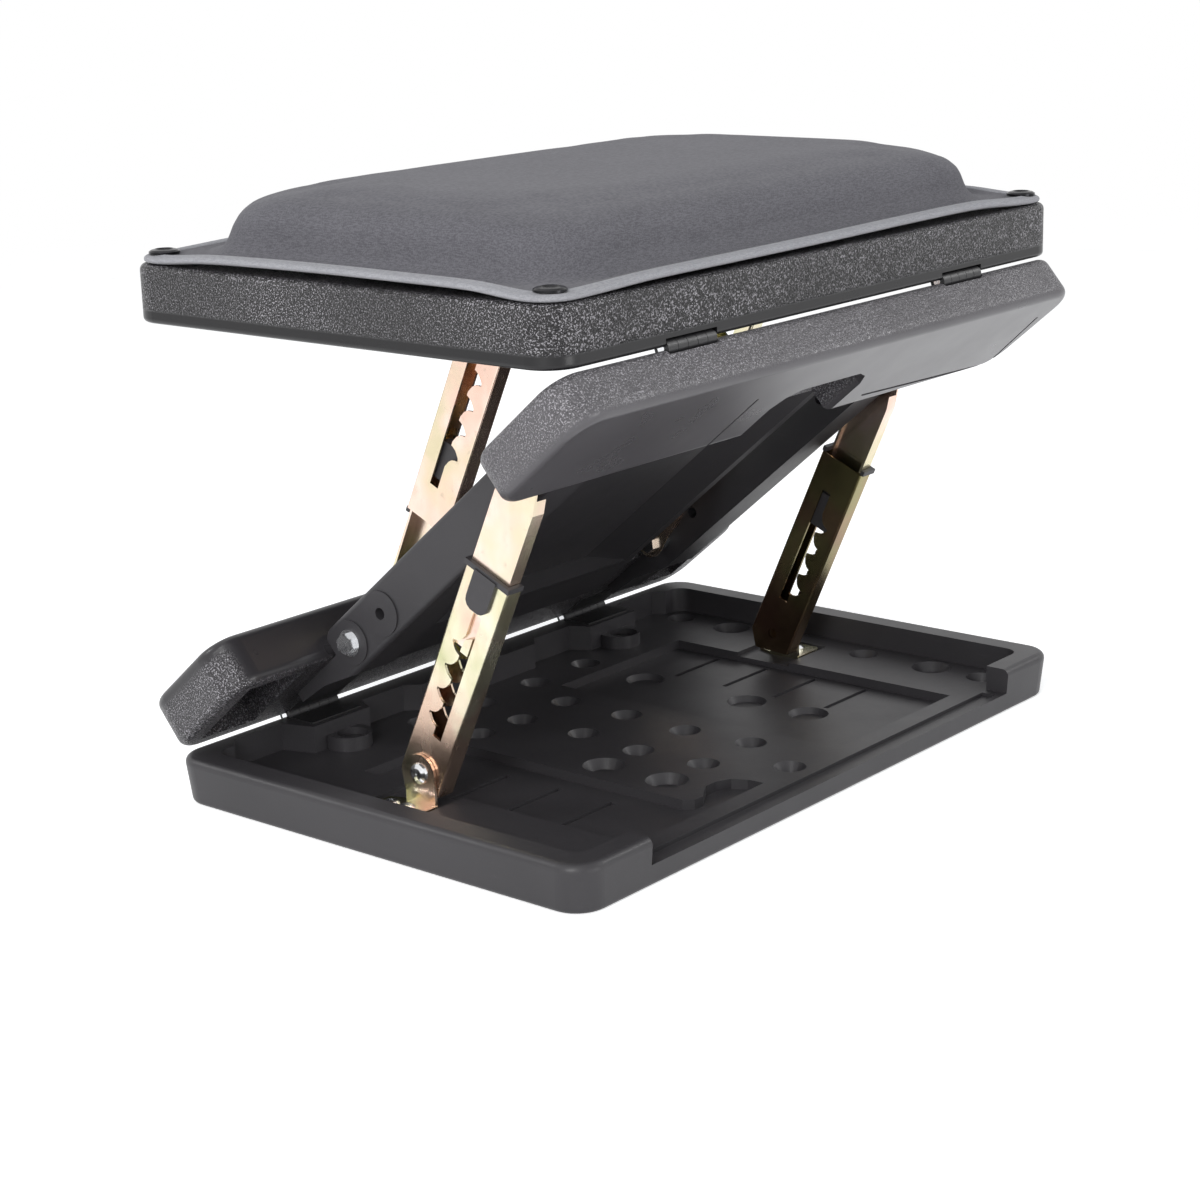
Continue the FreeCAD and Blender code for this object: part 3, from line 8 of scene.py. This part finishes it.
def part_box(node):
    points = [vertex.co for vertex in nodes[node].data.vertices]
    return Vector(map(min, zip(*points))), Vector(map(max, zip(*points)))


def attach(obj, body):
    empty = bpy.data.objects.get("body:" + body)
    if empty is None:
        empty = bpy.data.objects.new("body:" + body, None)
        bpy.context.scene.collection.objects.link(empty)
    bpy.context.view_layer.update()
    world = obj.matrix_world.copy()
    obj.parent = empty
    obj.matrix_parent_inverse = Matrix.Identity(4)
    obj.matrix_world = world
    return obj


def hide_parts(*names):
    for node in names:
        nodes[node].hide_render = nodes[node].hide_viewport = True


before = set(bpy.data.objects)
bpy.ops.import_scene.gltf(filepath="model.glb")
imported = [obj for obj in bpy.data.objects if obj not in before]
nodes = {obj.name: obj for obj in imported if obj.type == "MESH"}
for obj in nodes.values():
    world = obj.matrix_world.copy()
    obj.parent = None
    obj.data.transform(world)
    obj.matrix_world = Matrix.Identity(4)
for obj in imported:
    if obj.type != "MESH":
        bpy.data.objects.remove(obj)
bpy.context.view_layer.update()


# Base tray, sloping panel and arms. The real ones are blow moulded in black polyethylene with a
# satin skin: smooth, a little uneven in gloss, with fine scuffs. The arms are bolted to the flaps,
# the panel is moulded between them.
def linear(code):
    """A colour given as six hexadecimal digits, in the linear values that a material takes."""
    parts = [int(code[n:n + 2], 16) / 255 for n in (0, 2, 4)]
    return [c / 12.92 if c <= 0.04045 else ((c + 0.055) / 1.055) ** 2.4 for c in parts] + [1.0]


class Wire:
    """One output of a material's nodes, which takes part in plain sums."""

    def __init__(self, tree, socket):
        self.tree, self.socket = tree, socket

    def node(self, kind, settings=None, inputs=None, output=0):
        """Adds a node by its type, then its settings, then the values or wires of its inputs."""
        added = self.tree.nodes.new(kind)
        for name, value in (settings or {}).items():
            setattr(added, name, value)
        for name, value in (inputs or {}).items():
            if isinstance(value, Wire):
                self.tree.links.new(value.socket, added.inputs[name])
            else:
                added.inputs[name].default_value = value
        return Wire(self.tree, added.outputs[output])

    def sum(self, kind, *terms):
        """The result of one plain operation, in the order of its terms."""
        return self.node("ShaderNodeMath", {"operation": kind}, dict(enumerate(terms)))

    def __add__(self, other):
        return self.sum("ADD", self, other)

    def __sub__(self, other):
        return self.sum("SUBTRACT", self, other)

    def __mul__(self, other):
        return self.sum("MULTIPLY", self, other)

    def __rsub__(self, other):
        return self.sum("SUBTRACT", other, self)

    __radd__, __rmul__ = __add__, __mul__

    def rise(self, start, end):
        """0 below start, 1 above end, smooth between the two."""
        return self.node("ShaderNodeMapRange", {"interpolation_type": "SMOOTHSTEP"},
                         {"Value": self, "From Min": start, "From Max": end})

    def axes(self):
        """The three coordinates of a point."""
        parts = self.node("ShaderNodeSeparateXYZ", None, {"Vector": self}).socket.node
        return [Wire(self.tree, parts.outputs[n]) for n in range(3)]

    def stretched(self, x, y, z):
        """The same point with its coordinates multiplied, to draw a pattern out along an axis."""
        return self.node("ShaderNodeVectorMath", {"operation": "MULTIPLY"},
                         {0: self, 1: (x, y, z)})

    def noise(self, scale, detail=2.0, rough=0.5):
        """Clouds of 0 to 1, scale to the metre."""
        return self.node("ShaderNodeTexNoise", None,
                         {"Vector": self, "Scale": scale, "Detail": detail, "Roughness": rough})

    def cells(self, scale):
        """The distance to the nearest of many scattered points, scale to the metre."""
        return self.node("ShaderNodeTexVoronoi", {"feature": "F1"},
                         {"Vector": self, "Scale": scale})

    def colours(self, first, second):
        """Goes from the first colour to the second; each is a hexadecimal code or a wire."""
        ends = [linear(c) if isinstance(c, str) else c for c in (first, second)]
        return self.node("ShaderNodeMix", {"data_type": "RGBA"},
                         {0: self, 6: ends[0], 7: ends[1]}, output=2)

    def relief(self, depth, strength=1.0):
        """Turns a height of 0 to 1 into a bumpy surface, depth in metres."""
        return self.node("ShaderNodeBump", None,
                         {"Height": self, "Distance": depth, "Strength": strength})


def new_material(name, metallic=0.0, specular=0.5):
    """A plain material, its place on the object and its surface node."""
    made = bpy.data.materials.new(name)
    made.use_nodes = True
    surface = made.node_tree.nodes["Principled BSDF"]
    surface.inputs["Metallic"].default_value = metallic
    surface.inputs["Specular IOR Level"].default_value = specular
    place = made.node_tree.nodes.new("ShaderNodeTexCoord").outputs["Object"]
    return made, Wire(made.node_tree, place), surface


def dress(surface, **wires):
    """Leads each wire to the input of that name; an underscore stands for a space."""
    for name, wire in wires.items():
        wire.tree.links.new(wire.socket, surface.inputs[name.replace("_", " ")])


def satin_black():
    """Smooth black plastic with faint scuffs along y and a fine uneven skin."""
    made, place, surface = new_material("satin_black_plastic", specular=0.38)
    gloss = place.noise(34, 3)
    scuffs = place.stretched(1, 0.16, 1).noise(190, 4, 0.6).rise(0.6, 0.78)
    skin = place.noise(1500, 3)
    shade = place.noise(11, 3) * 0.6 + scuffs * 0.2 + skin * 0.2
    dress(surface,
          Base_Color=shade.colours("29282a", "413f42"),
          Roughness=gloss * 0.14 + place.noise(900, 2) * 0.06 + scuffs * 0.05 + 0.33,
          Normal=(skin * 0.6 + place.noise(60, 2)).relief(0.00014, 0.5))
    return made


def paint(material, *starts):
    """Gives the material to every solid whose name starts with one of these words."""
    for name, item in nodes.items():
        if name.startswith(starts):
            for slot in item.material_slots:
                slot.material = material


paint(satin_black(), "base_tray", "lift_panel", "lift_arm")


# Top tray and the two wide flaps. Same plastic, but the mould gives their outer sides a pebbled
# leather grain, and the glints of light on its pebbles are painted into the colour as fine light
# dots. Each part's tone is lighter or darker as painted light and shade. The lowest few millimetres
# of the tray and the flat backs of the flaps are smooth. They hang on two hinges at each fold.
def points_of(item):
    """The places of the item's points, one row each."""
    found = np.empty(len(item.data.vertices) * 3)
    item.data.vertices.foreach_get("co", found)
    return found.reshape(-1, 3)


def grained_black(name, grain_area, dark, light):
    """Black plastic, grained where grain_area of the point is 1 and smooth where it is 0, with the
    glints on its grain painted in as light dots.
    """
    made, place, surface = new_material(name, specular=0.38)
    grain = grain_area(place)
    swirl = place.noise(520, 2)
    pebbles = place.cells(820).rise(0.25, 0.75)
    relief = (1 - pebbles) * 0.55 + swirl * 0.75
    # Painted highlight: light grey dots on the grain stand for glints of light on its pebbles,
    # stronger in some patches.
    painted_glint_specks = place.noise(1150, 2, 0.6).rise(0.54, 0.62) * grain
    glint_patches = place.noise(14, 3).rise(0.35, 0.7)
    plain = place.noise(9, 2).colours(dark, light)
    dress(surface,
          Base_Color=(painted_glint_specks * (0.44 + glint_patches * 0.44)).colours(plain, "a7a4a9"),
          Roughness=0.24 + place.noise(40, 2) * 0.1 + grain * 0.04,
          Normal=(relief * grain).relief(0.0008, 0.9))
    return made


band_start, band_end = 0.0062, 0.0082
slope = math.radians(40.15)
upper_fold = (-0.1352, 0.2604)
lower_fold = (0.1415, 0.027)
flap_thick, border_start, border_end = 0.027, 0.0012, 0.0075
wall_start, wall_end = 0.004, 0.001


def tray_grain(place):
    """The top tray is grained from about 7 mm above its lower edge."""
    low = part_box("top_plate")[0].z
    return place.axes()[2].rise(low + band_start, low + band_end)


def up_slope(fold_line, y, z):
    """How far a point lies up the slope from the flap's fold line, given as y and z."""
    return (fold_line[0] - y) * math.cos(slope) + (z - fold_line[1]) * math.sin(slope)


def off_back(fold_line, side, y, z):
    """A flap is grained all round, up to the rounded border of its flat back."""
    depth = ((y - fold_line[0]) * math.sin(slope) + (z - fold_line[1]) * math.cos(slope)) * side
    return depth.rise(-flap_thick + border_start, -flap_thick + border_end)


def upper_flap_grain(place):
    """Only the flat back of the upper flap is smooth."""
    return off_back(upper_fold, 1, *place.axes()[1:])


def lower_flap_grain(place):
    """The long wall that the lower flap turns to the panel is smooth too."""
    shape = points_of(nodes["lift_flap_lower"])
    wall = up_slope(lower_fold, shape[:, 1], shape[:, 2]).max()
    y, z = place.axes()[1:]
    on_wall = up_slope(lower_fold, y, z).rise(wall - wall_start, wall - wall_end)
    return off_back(lower_fold, -1, y, z) * (1 - on_wall)


# Painted light and shade: the same grained plastic is made darker on the tray, which lies more in
# shade, and lighter on the flaps, where more light falls.
paint(grained_black("grained_tray_painted_shade", tray_grain, "0b0a0c", "141315"), "top_plate")
paint(grained_black("grained_upper_flap_painted_light", upper_flap_grain, "424043", "5d5b5e"), "lift_flap_upper")
paint(grained_black("grained_lower_flap_painted_light", lower_flap_grain, "252426", "39373a"), "lift_flap_lower")


# Hinge leaves. Small knuckles in a harder, duller black plastic, screwed down beside each fold line
# and held together by thin bright pins.
def dull_black(name, dark, light, roughness):
    """Hard black plastic with a fine matt skin."""
    made, place, surface = new_material(name)
    dress(surface,
          Base_Color=(place.noise(70, 3) * 0.7 + place.noise(900, 2) * 0.3).colours(dark, light),
          Roughness=place.noise(300, 2) * 0.12 + roughness,
          Normal=place.noise(1300, 2).relief(0.00015, 0.5))
    return made


paint(dull_black("hinge_black", "1a1a1b", "2c2b2d", 0.36),
      "base_hinge_leaf", "lift_hinge_leaf", "top_hinge_leaf")


# Struts and their brackets. Folded sheet steel, zinc plated and passivated, so the cream metal
# drifts into pink and yellow green, and the parts differ a little in tone from the bath. The lower
# right channel's dark brown is painted shade, for the shade it lies in and the black arm it
# mirrors, and the pink of the upper left channel and upper brackets is made lighter as painted
# light, against the shadow under the tray. The brackets are screwed to the trays, the channels
# pivot on them, and the sliders run inside these.
def passivated_zinc(name, cream, light_cream, pink, green):
    """Plated steel that wanders between its cream, a pink and a green, with fine rolling marks."""
    made, place, surface = new_material(name, metallic=1.0)
    drift = place.noise(17, 3, 0.55)
    cloud = place.stretched(1, 1, 0.4).noise(46, 3, 0.6)
    rolled = place.stretched(1, 0.12, 0.12).noise(1600, 3)
    plain = cloud.rise(0.3, 0.75).colours(cream, light_cream)
    warm = drift.rise(0.48, 0.64).colours(plain, pink)
    cool = (1 - drift).rise(0.5, 0.68).colours(warm, green)
    stains = place.noise(210, 3).rise(0.6, 0.8)
    dress(surface,
          Base_Color=(stains * 0.25).colours(cool, "8f7f62"),
          Roughness=cloud * 0.14 + rolled * 0.06 + 0.15,
          Normal=(rolled * 0.5 + place.noise(90, 2)).relief(0.00012, 0.45))
    return made


paint(passivated_zinc("cream_zinc", "d3cca9", "ebe6cf", "dcbfab", "b7bc8d"),
      "strut_channel_lower_left", "strut_channel_upper_right", "strut_pawl", "bracket_lower")
# The pink tint of the passivation, made lighter as painted light where the channel lies in shadow
# under the tray.
paint(passivated_zinc("pink_zinc_painted_light", "e4c2b1", "f0d8ca", "dcb09a", "d2c6a6"),
      "strut_channel_upper_left", "bracket_upper")
paint(passivated_zinc("bright_zinc", "e3c9b6", "f2dfd3", "dfbaa8", "d8cfae"), "strut_slider")
# Painted shade: the channel is coloured dark brown for the shade it sits in and the black arm it
# mirrors.
paint(passivated_zinc("brown_zinc_painted_shade", "92795f", "ad9474", "8a6a58", "968e63"),
      "strut_channel_lower_right")
paint(dull_black("cap_black", "2b2a2c", "3a383b", 0.42), "strut_cap", "strut_spring")


# Screws, rivets, bolts, nuts and hinge pins. Bright nickel-plated steel with turned faces. The
# screws hold the brackets to the trays, the bolts go through the arms and the ends of the struts.
def bright_steel():
    """Bright metal, a little brushed."""
    made, place, surface = new_material("bright_steel", metallic=1.0)
    dress(surface,
          Base_Color=place.noise(160, 3).colours("cfd0d3", "f0f1f2"),
          Roughness=place.noise(420, 3) * 0.14 + 0.14,
          Normal=place.stretched(1, 1, 0.2).noise(900, 2).relief(0.0001, 0.4))
    return made


paint(bright_steel(), "bracket_screws", "strut_rivet", "strut_bolt", "arm_bolts", "arm_nuts",
      "base_hinge_pins", "top_hinge_pins")


# Cushion. A block of foam under a close-woven dark grey cover, glued to its skirt. It is domed,
# with rounded shoulders, and its sides are drawn in a little where the cover is pulled down to the
# skirt.
def cover_cloth(name, dark, light, heather):
    """A close plain weave, matt and soft, with threads of slightly different greys: heather is the
    share of the threads in the shade, the rest is a wide mottle."""
    made, place, surface = new_material(name, specular=0.2)
    across = place.stretched(1, 0.2, 1).noise(1500, 2)
    along = place.stretched(0.2, 1, 1).noise(1500, 2)
    threads = across * 0.5 + along * 0.5
    mottle = place.noise(26, 4, 0.6)
    shade = threads.rise(0.36, 0.64) * heather + mottle * (1 - heather)
    dress(surface,
          Base_Color=shade.colours(dark, light),
          Roughness=0.82 + threads * 0.14,
          Normal=threads.relief(0.0004, 0.6))
    surface.inputs["Sheen Weight"].default_value = 0.08
    surface.inputs["Sheen Roughness"].default_value = 0.5
    return made


def only(item):
    """Makes this the one selected object."""
    if bpy.context.mode != "OBJECT":
        bpy.ops.object.mode_set(mode="OBJECT")
    bpy.ops.object.select_all(action="DESELECT")
    item.select_set(True)
    bpy.context.view_layer.objects.active = item


def edit_all(kind):
    """Opens the active object for editing, all of it selected; kind is bpy.ops.mesh or .curve."""
    bpy.ops.object.mode_set(mode="EDIT")
    kind.select_all(action="SELECT")


def move_points(item, places):
    item.data.vertices.foreach_set("co", np.ascontiguousarray(places, dtype=np.float32).ravel())
    item.data.update()


def smooth_all(item):
    only(item)
    bpy.ops.object.shade_smooth()


pad_low, pad_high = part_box("cushion_pad")
middle = (pad_low + pad_high) / 2
sunk_part, cut_below = 0.0036, 0.0012
skirt_top = pad_low.z + sunk_part
dome = bpy.data.objects.new("cushion_dome", nodes["cushion_pad"].data.copy())
bpy.context.scene.collection.objects.link(dome)
only(dome)
edit_all(bpy.ops.mesh)
bpy.ops.mesh.remove_doubles(threshold=0.00002)
bpy.ops.mesh.bisect(plane_co=(0, 0, skirt_top - cut_below), plane_no=(0, 0, 1),
                    use_fill=True, clear_inner=True)
bpy.ops.object.mode_set(mode="OBJECT")
fine = dome.modifiers.new("even_mesh", "REMESH")
fine.mode = "VOXEL"
fine.voxel_size = 0.005
bpy.ops.object.modifier_apply(modifier="even_mesh")

# The block starts a little too thin, because the push of the foam fills the cover out. Its foot is
# held by the skirt.
start_inset, full_inset_height = 0.0008, 0.125
held_share, cloth_frames = 0.12, 20
start = points_of(dome)
height = (start[:, 2] - skirt_top) / (pad_high.z - skirt_top)
outwards = np.empty(len(start) * 3)
dome.data.vertices.foreach_get("normal", outwards)
outwards = outwards.reshape(-1, 3)
start = start - outwards * (start_inset * np.clip(height / full_inset_height, 0, 1))[:, None]
move_points(dome, start)
held = dome.vertex_groups.new(name="held_by_skirt")
held.add([int(n) for n in np.nonzero(height < held_share)[0]], 1.0, "REPLACE")
cloth = dome.modifiers.new("foam_push", "CLOTH")
cloth.settings.use_pressure = True
cloth.settings.uniform_pressure_force = 4.0
cloth.settings.effector_weights.gravity = 0.0
cloth.settings.vertex_group_mass = "held_by_skirt"
cloth.settings.tension_stiffness = 12
cloth.settings.compression_stiffness = 12
cloth.settings.bending_stiffness = 0.6
cloth.settings.quality = 6
for moment in range(1, cloth_frames + 1):
    bpy.context.scene.frame_set(moment)
bpy.ops.object.modifier_apply(modifier="foam_push")
bpy.context.scene.frame_set(1)
# A stuffed block doesn't sink in: of the part of the push that goes inwards little is kept.
push_limit, sinking_off = 0.0018, 0.85
pushed = points_of(dome) - start
inwards = np.minimum(np.sum(pushed * outwards, axis=1), 0)
pushed -= outwards * (inwards * sinking_off)[:, None]
length = np.linalg.norm(pushed, axis=1)
limit = np.minimum(1.0, push_limit / np.maximum(length, 1e-9))
start = start + pushed * limit[:, None]

foot_half_width, foot_half_depth = 0.1955, 0.1235
waist_depth, waist_level, waist_spread = 0.0013, 0.3, 0.2
side_start, side_width = 0.85, 0.1


def drawn_in(places):
    """The sides give way by a millimetre or so below the shoulder, more in some places."""
    x = (places[:, 0] - middle.x) / foot_half_width
    y = (places[:, 1] - middle.y) / foot_half_depth
    level = np.clip((places[:, 2] - skirt_top) / (pad_high.z - skirt_top), 0, 1)
    waist = np.exp(-((level - waist_level) / waist_spread) ** 2) * waist_depth
    ripple = 1 + 0.4 * np.sin(x * 9 + 1.2) * np.cos(y * 7)
    result = places.copy()
    for axis, share in enumerate((x, y)):
        at_side = np.clip(np.abs(share) - side_start, 0, side_width) / side_width
        result[:, axis] -= np.sign(share) * at_side * waist * ripple
    return result


move_points(dome, drawn_in(start))
softer = dome.modifiers.new("softened", "LAPLACIANSMOOTH")
softer.iterations = 2
softer.lambda_factor = 0.2
only(dome)
bpy.ops.object.modifier_apply(modifier="softened")
finer = dome.modifiers.new("finer", "SUBSURF")
finer.levels = 1
bpy.ops.object.modifier_apply(modifier="finer")
smooth_all(dome)
dome.data.materials.clear()
dome.data.materials.append(cover_cloth("grey_cover", "4d4c51", "6b6a6f", 0.7))
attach(dome, "cushion")
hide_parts("cushion_pad")


# Skirt. The same cover cloth, laminated flat, lies on the top tray round the dome. It is pressed
# down only at the four studs, so between them its edge lifts off the tray.
hem_low, hem_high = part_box("cushion_hem")
tape_wide, skirt_thick, corner_round = 0.0095, 0.003, 0.017
half = Vector(((hem_high.x - hem_low.x) / 2, (hem_high.y - hem_low.y) / 2))
flat_level = skirt_top - skirt_thick / 2
# Places along a side, from one stud to the next, and the lift of the edge there in millimetres.
along_side = (-1, -0.72, -0.36, 0, 0.36, 0.72, 1)
lift_by_side = ((0, 1.5, 1.8, 2.1, 2.8, 2.8, 0), (0, 2.2, 2.8, 3.0, 2.6, 1.6, 0),
                (0, 1.4, 2.0, 2.4, 2.0, 1.4, 0), (0, 2.3, 3.2, 3.4, 3.1, 2.5, 0))
# How far the tape's roll leans, and the handle's share of the radius that makes a corner round.
flat_droop, corner_droop = 0.06, 0.12
round_handle = 0.5523


def edge_line(name, inset):
    """A closed curve round the skirt, inset from its edge, from the heel side's left end round by
    the right: low at the studs and raised between them by the millimetres in lift_by_side."""
    bpy.ops.curve.primitive_bezier_circle_add(location=(0, 0, 0))
    line = bpy.context.active_object
    line.name = name
    edit_all(bpy.ops.curve)
    bpy.ops.curve.subdivide(number_cuts=len(along_side) - 1)
    bpy.ops.object.mode_set(mode="OBJECT")
    line.data.dimensions = "3D"
    line.data.twist_mode = "Z_UP"
    line.data.resolution_u = 12
    knots = iter(line.data.splines[0].bezier_points)
    arc = (corner_round - inset) * round_handle
    for side, lifts in enumerate(lift_by_side):
        way = Vector((1, 0, 0)) if side % 2 == 0 else Vector((0, 1, 0))
        out = Vector((0, -1, 0)) if side % 2 == 0 else Vector((1, 0, 0))
        if side > 1:
            way, out = -way, -out
        run = half[side % 2] - corner_round
        reach = half[1 - side % 2] - inset
        for n, (share, lift) in enumerate(zip(along_side, lifts)):
            knot = next(knots)
            knot.handle_left_type = knot.handle_right_type = "FREE"
            knot.co = (Vector((middle.x, middle.y, flat_level + lift / 1000))
                       + way * run * share + out * reach)
            ends = n in (0, len(lifts) - 1)
            knot.tilt = corner_droop if ends else flat_droop
            climb = 0 if ends else ((lifts[n + 1] - lifts[n - 1]) / 1000
                                    / (along_side[n + 1] - along_side[n - 1]) / run)
            back = arc if n == 0 else (share - along_side[n - 1]) * run / 3
            ahead = arc if n == len(lifts) - 1 else (along_side[n + 1] - share) * run / 3
            knot.handle_left = knot.co - (way + Vector((0, 0, climb))) * back
            knot.handle_right = knot.co + (way + Vector((0, 0, climb))) * ahead
    return line


tape_overlap = 0.0035
skirt_inset = tape_wide - tape_overlap
skirt = edge_line("cushion_skirt", skirt_inset)
only(skirt)
bpy.ops.object.convert(target="MESH")
edit_all(bpy.ops.mesh)
# Going inwards the skirt sinks onto the tray: the inset, and the share of the lift that is left.
lift_kept = ((0.0095, 1.0), (0.013, 0.72), (0.017, 0.3), (0.021, 0.04), (0.026, 0.01),
             (0.06, 0.001))
last, last_keep = skirt_inset, 1.0
for inset, keep in lift_kept:
    bpy.ops.mesh.extrude_edges_move()
    bpy.ops.transform.resize(value=((half.x - inset) / (half.x - last),
                                    (half.y - inset) / (half.y - last), keep / last_keep),
                             center_override=(middle.x, middle.y, flat_level))
    last, last_keep = inset, keep
bpy.ops.mesh.edge_face_add()
bpy.ops.object.mode_set(mode="OBJECT")
thick = skirt.modifiers.new("thickness", "SOLIDIFY")
thick.thickness = skirt_thick
thick.offset = 0
bpy.ops.object.modifier_apply(modifier="thickness")
edit_all(bpy.ops.mesh)
bpy.ops.mesh.normals_make_consistent(inside=False)
bpy.ops.object.mode_set(mode="OBJECT")
bpy.ops.object.shade_smooth_by_angle(angle=math.radians(40))
skirt.data.materials.append(cover_cloth("grey_skirt", "4b4a4f", "66656a", 0.7))
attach(skirt, "cushion")


# Hem. A light grey woven tape, folded over the skirt's edge into a soft roll and sewn through with
# one row of small stitches near its inner edge.
hem = edge_line("cushion_tape", tape_wide / 2)
bpy.ops.curve.primitive_bezier_circle_add(location=(0, 0, 0))
profile = bpy.context.active_object
edit_all(bpy.ops.curve)
bpy.ops.curve.subdivide(number_cuts=1)
bpy.ops.object.mode_set(mode="OBJECT")
profile.data.resolution_u = 3
# The roll seen from its end, in millimetres outwards and up.
section = ((-4.75, -0.1), (-4.2, 1.5), (-0.9, 1.6), (0.3, 1.42), (2.8, 1.95), (4.75, 0.2),
           (3.2, -1.5), (-4.2, -1.4))
for knot, (out, up) in zip(profile.data.splines[0].bezier_points, section):
    knot.handle_left_type = knot.handle_right_type = "AUTO"
    knot.co = (out / 1000, up / 1000, 0)
hem.data.bevel_mode = "OBJECT"
hem.data.bevel_object = profile
only(hem)
bpy.ops.object.convert(target="MESH")
bpy.data.objects.remove(profile)
edit_all(bpy.ops.mesh)
bpy.ops.mesh.remove_doubles(threshold=0.00001)
bpy.ops.mesh.normals_make_consistent(inside=False)
bpy.ops.object.mode_set(mode="OBJECT")
smooth_all(hem)
hem.data.materials.append(cover_cloth("grey_tape", "828286", "a0a0a4", 0.6))
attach(hem, "cushion")
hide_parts("cushion_hem")

seam = edge_line("seam_line", tape_wide / 2)
stitch_long, stitch_pitch, thread = 0.0024, 0.0036, 0.00056
stitch_in, stitch_up = 0.0024, 0.0015
level_part = 0.25
bpy.ops.mesh.primitive_uv_sphere_add(segments=8, ring_count=6, radius=0.5, location=(0, 0, 0))
stitches = bpy.context.active_object
stitches.name = "hem_stitches"
edit_all(bpy.ops.mesh)
bpy.ops.transform.resize(value=(stitch_long, thread, thread), center_override=(0, 0, 0))
bpy.ops.transform.translate(value=(stitch_pitch / 2, stitch_in, stitch_up))
bpy.ops.object.mode_set(mode="OBJECT")
# The ends of a stitch go down into the tape.
places = points_of(stitches)
ends = np.abs(places[:, 0] - stitch_pitch / 2) / stitch_long
places[:, 2] -= np.clip(ends - level_part, 0, 1) * thread
move_points(stitches, places)
row = stitches.modifiers.new("row", "ARRAY")
row.use_relative_offset = False
row.use_constant_offset = True
row.constant_offset_displace = (stitch_pitch, 0, 0)
row.count = int(seam.data.splines[0].calc_length() / stitch_pitch)
round_edge = stitches.modifiers.new("round_edge", "CURVE")
round_edge.object = seam
only(stitches)
bpy.ops.object.modifier_apply(modifier="row")
bpy.ops.object.modifier_apply(modifier="round_edge")
bpy.data.objects.remove(seam)
smooth_all(stitches)
stitches.data.materials.append(cover_cloth("grey_thread", "8d8d91", "b0b0b4", 0.5))
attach(stitches, "cushion")


# Press studs. Dark lacquered steel caps, one at each corner of the skirt, which snap on studs that
# are riveted to the top tray.
def dark_cap():
    """Dark lacquer over steel, fairly glossy."""
    made, place, surface = new_material("dark_cap_metal", metallic=0.85)
    dress(surface,
          Base_Color=place.noise(220, 2).colours("1b1b1d", "2d2d30"),
          Roughness=place.noise(380, 2) * 0.1 + 0.2)
    return made


paint(dark_cap(), "snap_caps", "snap_studs")


# Floor, light and camera. A pale floor that fades into a white backdrop, a large soft light from
# the left and a weaker low one in front, small ones that draw the edges, and a large faint one
# above.
bpy.ops.mesh.primitive_plane_add(size=8)
floor = bpy.context.active_object
floor.name = "floor"
fade_start, fade_end = 0.9, 2.6
floor_made, floor_place, floor_surface = new_material("pale_floor", specular=0.1)
away = floor_place.node("ShaderNodeVectorMath", {"operation": "LENGTH"}, {0: floor_place},
                        output=1)
looked_at = (floor_place.node("ShaderNodeLightPath", output="Is Camera Ray")
             + floor_place.node("ShaderNodeLightPath", output="Is Glossy Ray"))
dress(floor_surface,
      Base_Color=floor_place.noise(3, 2).colours("fbfbfb", "ffffff"),
      Alpha=1 - away.rise(fade_start, fade_end),
      Emission_Color=looked_at.colours("000000", "ffffff"))
floor_surface.inputs["Roughness"].default_value = 0.9
floor_surface.inputs["Emission Strength"].default_value = 0.42
floor.data.materials.append(floor_made)

sky = bpy.data.worlds.new("white_backdrop")
bpy.context.scene.world = sky
sky.use_nodes = True
tree = sky.node_tree
tree.nodes.clear()
ray = tree.nodes.new("ShaderNodeLightPath")
seen = sum((Wire(tree, ray.outputs[name]) for name in ("Is Glossy Ray", "Is Transmission Ray")),
           Wire(tree, ray.outputs["Is Camera Ray"]))
soft = seen.node("ShaderNodeBackground", None, {"Color": (0.95, 0.97, 1.0, 1), "Strength": 0.54})
white = seen.node("ShaderNodeBackground", None, {"Color": (1, 1, 1, 1), "Strength": 1.0})
both = seen.node("ShaderNodeMixShader", None, {0: seen, 1: soft, 2: white})
backdrop = tree.nodes.new("ShaderNodeOutputWorld")
tree.links.new(both.socket, backdrop.inputs["Surface"])

target = Vector((-0.02, 0.0, 0.14))
for name, place, wide, watts in (("key_light", (-1.85, -0.7, 0.8), 0.7, 20),
                                 ("side_light", (0.1, -1.9, 0.1), 0.7, 9),
                                 ("upper_light", (-1.3, -0.5, 1.65), 0.3, 5),
                                 ("left_edge_light", (-1.0, 1.2, 1.1), 0.3, 5),
                                 ("right_edge_light", (1.3, -0.9, 1.0), 0.3, 5),
                                 ("top_light", (0.1, 0.4, 2.0), 1.3, 4)):
    bpy.ops.object.light_add(type="AREA", location=place)
    lamp = bpy.context.active_object
    lamp.name = name
    lamp.data.shape = "SQUARE"
    lamp.data.size = wide
    lamp.data.energy = watts
    lamp.rotation_euler = (target - Vector(place)).to_track_quat("-Z", "Y").to_euler()

# The camera's place, turn and lens were fitted to points of the photograph.
bpy.ops.object.camera_add(location=(-1.05228612, -0.86412656, 0.46476056))
camera = bpy.context.active_object
to_right = Vector((0.63885918, -0.76880601, -0.02821826))
to_top = Vector((0.22412892, 0.15090691, 0.96280493))
to_back = to_right.cross(to_top)
turned = Matrix((to_right, to_top, to_back)).transposed()
camera.rotation_euler = turned.to_euler()
camera.data.lens = 75.367
camera.data.sensor_width = 36
bpy.context.scene.camera = camera
bpy.context.scene.view_settings.view_transform = "Standard"
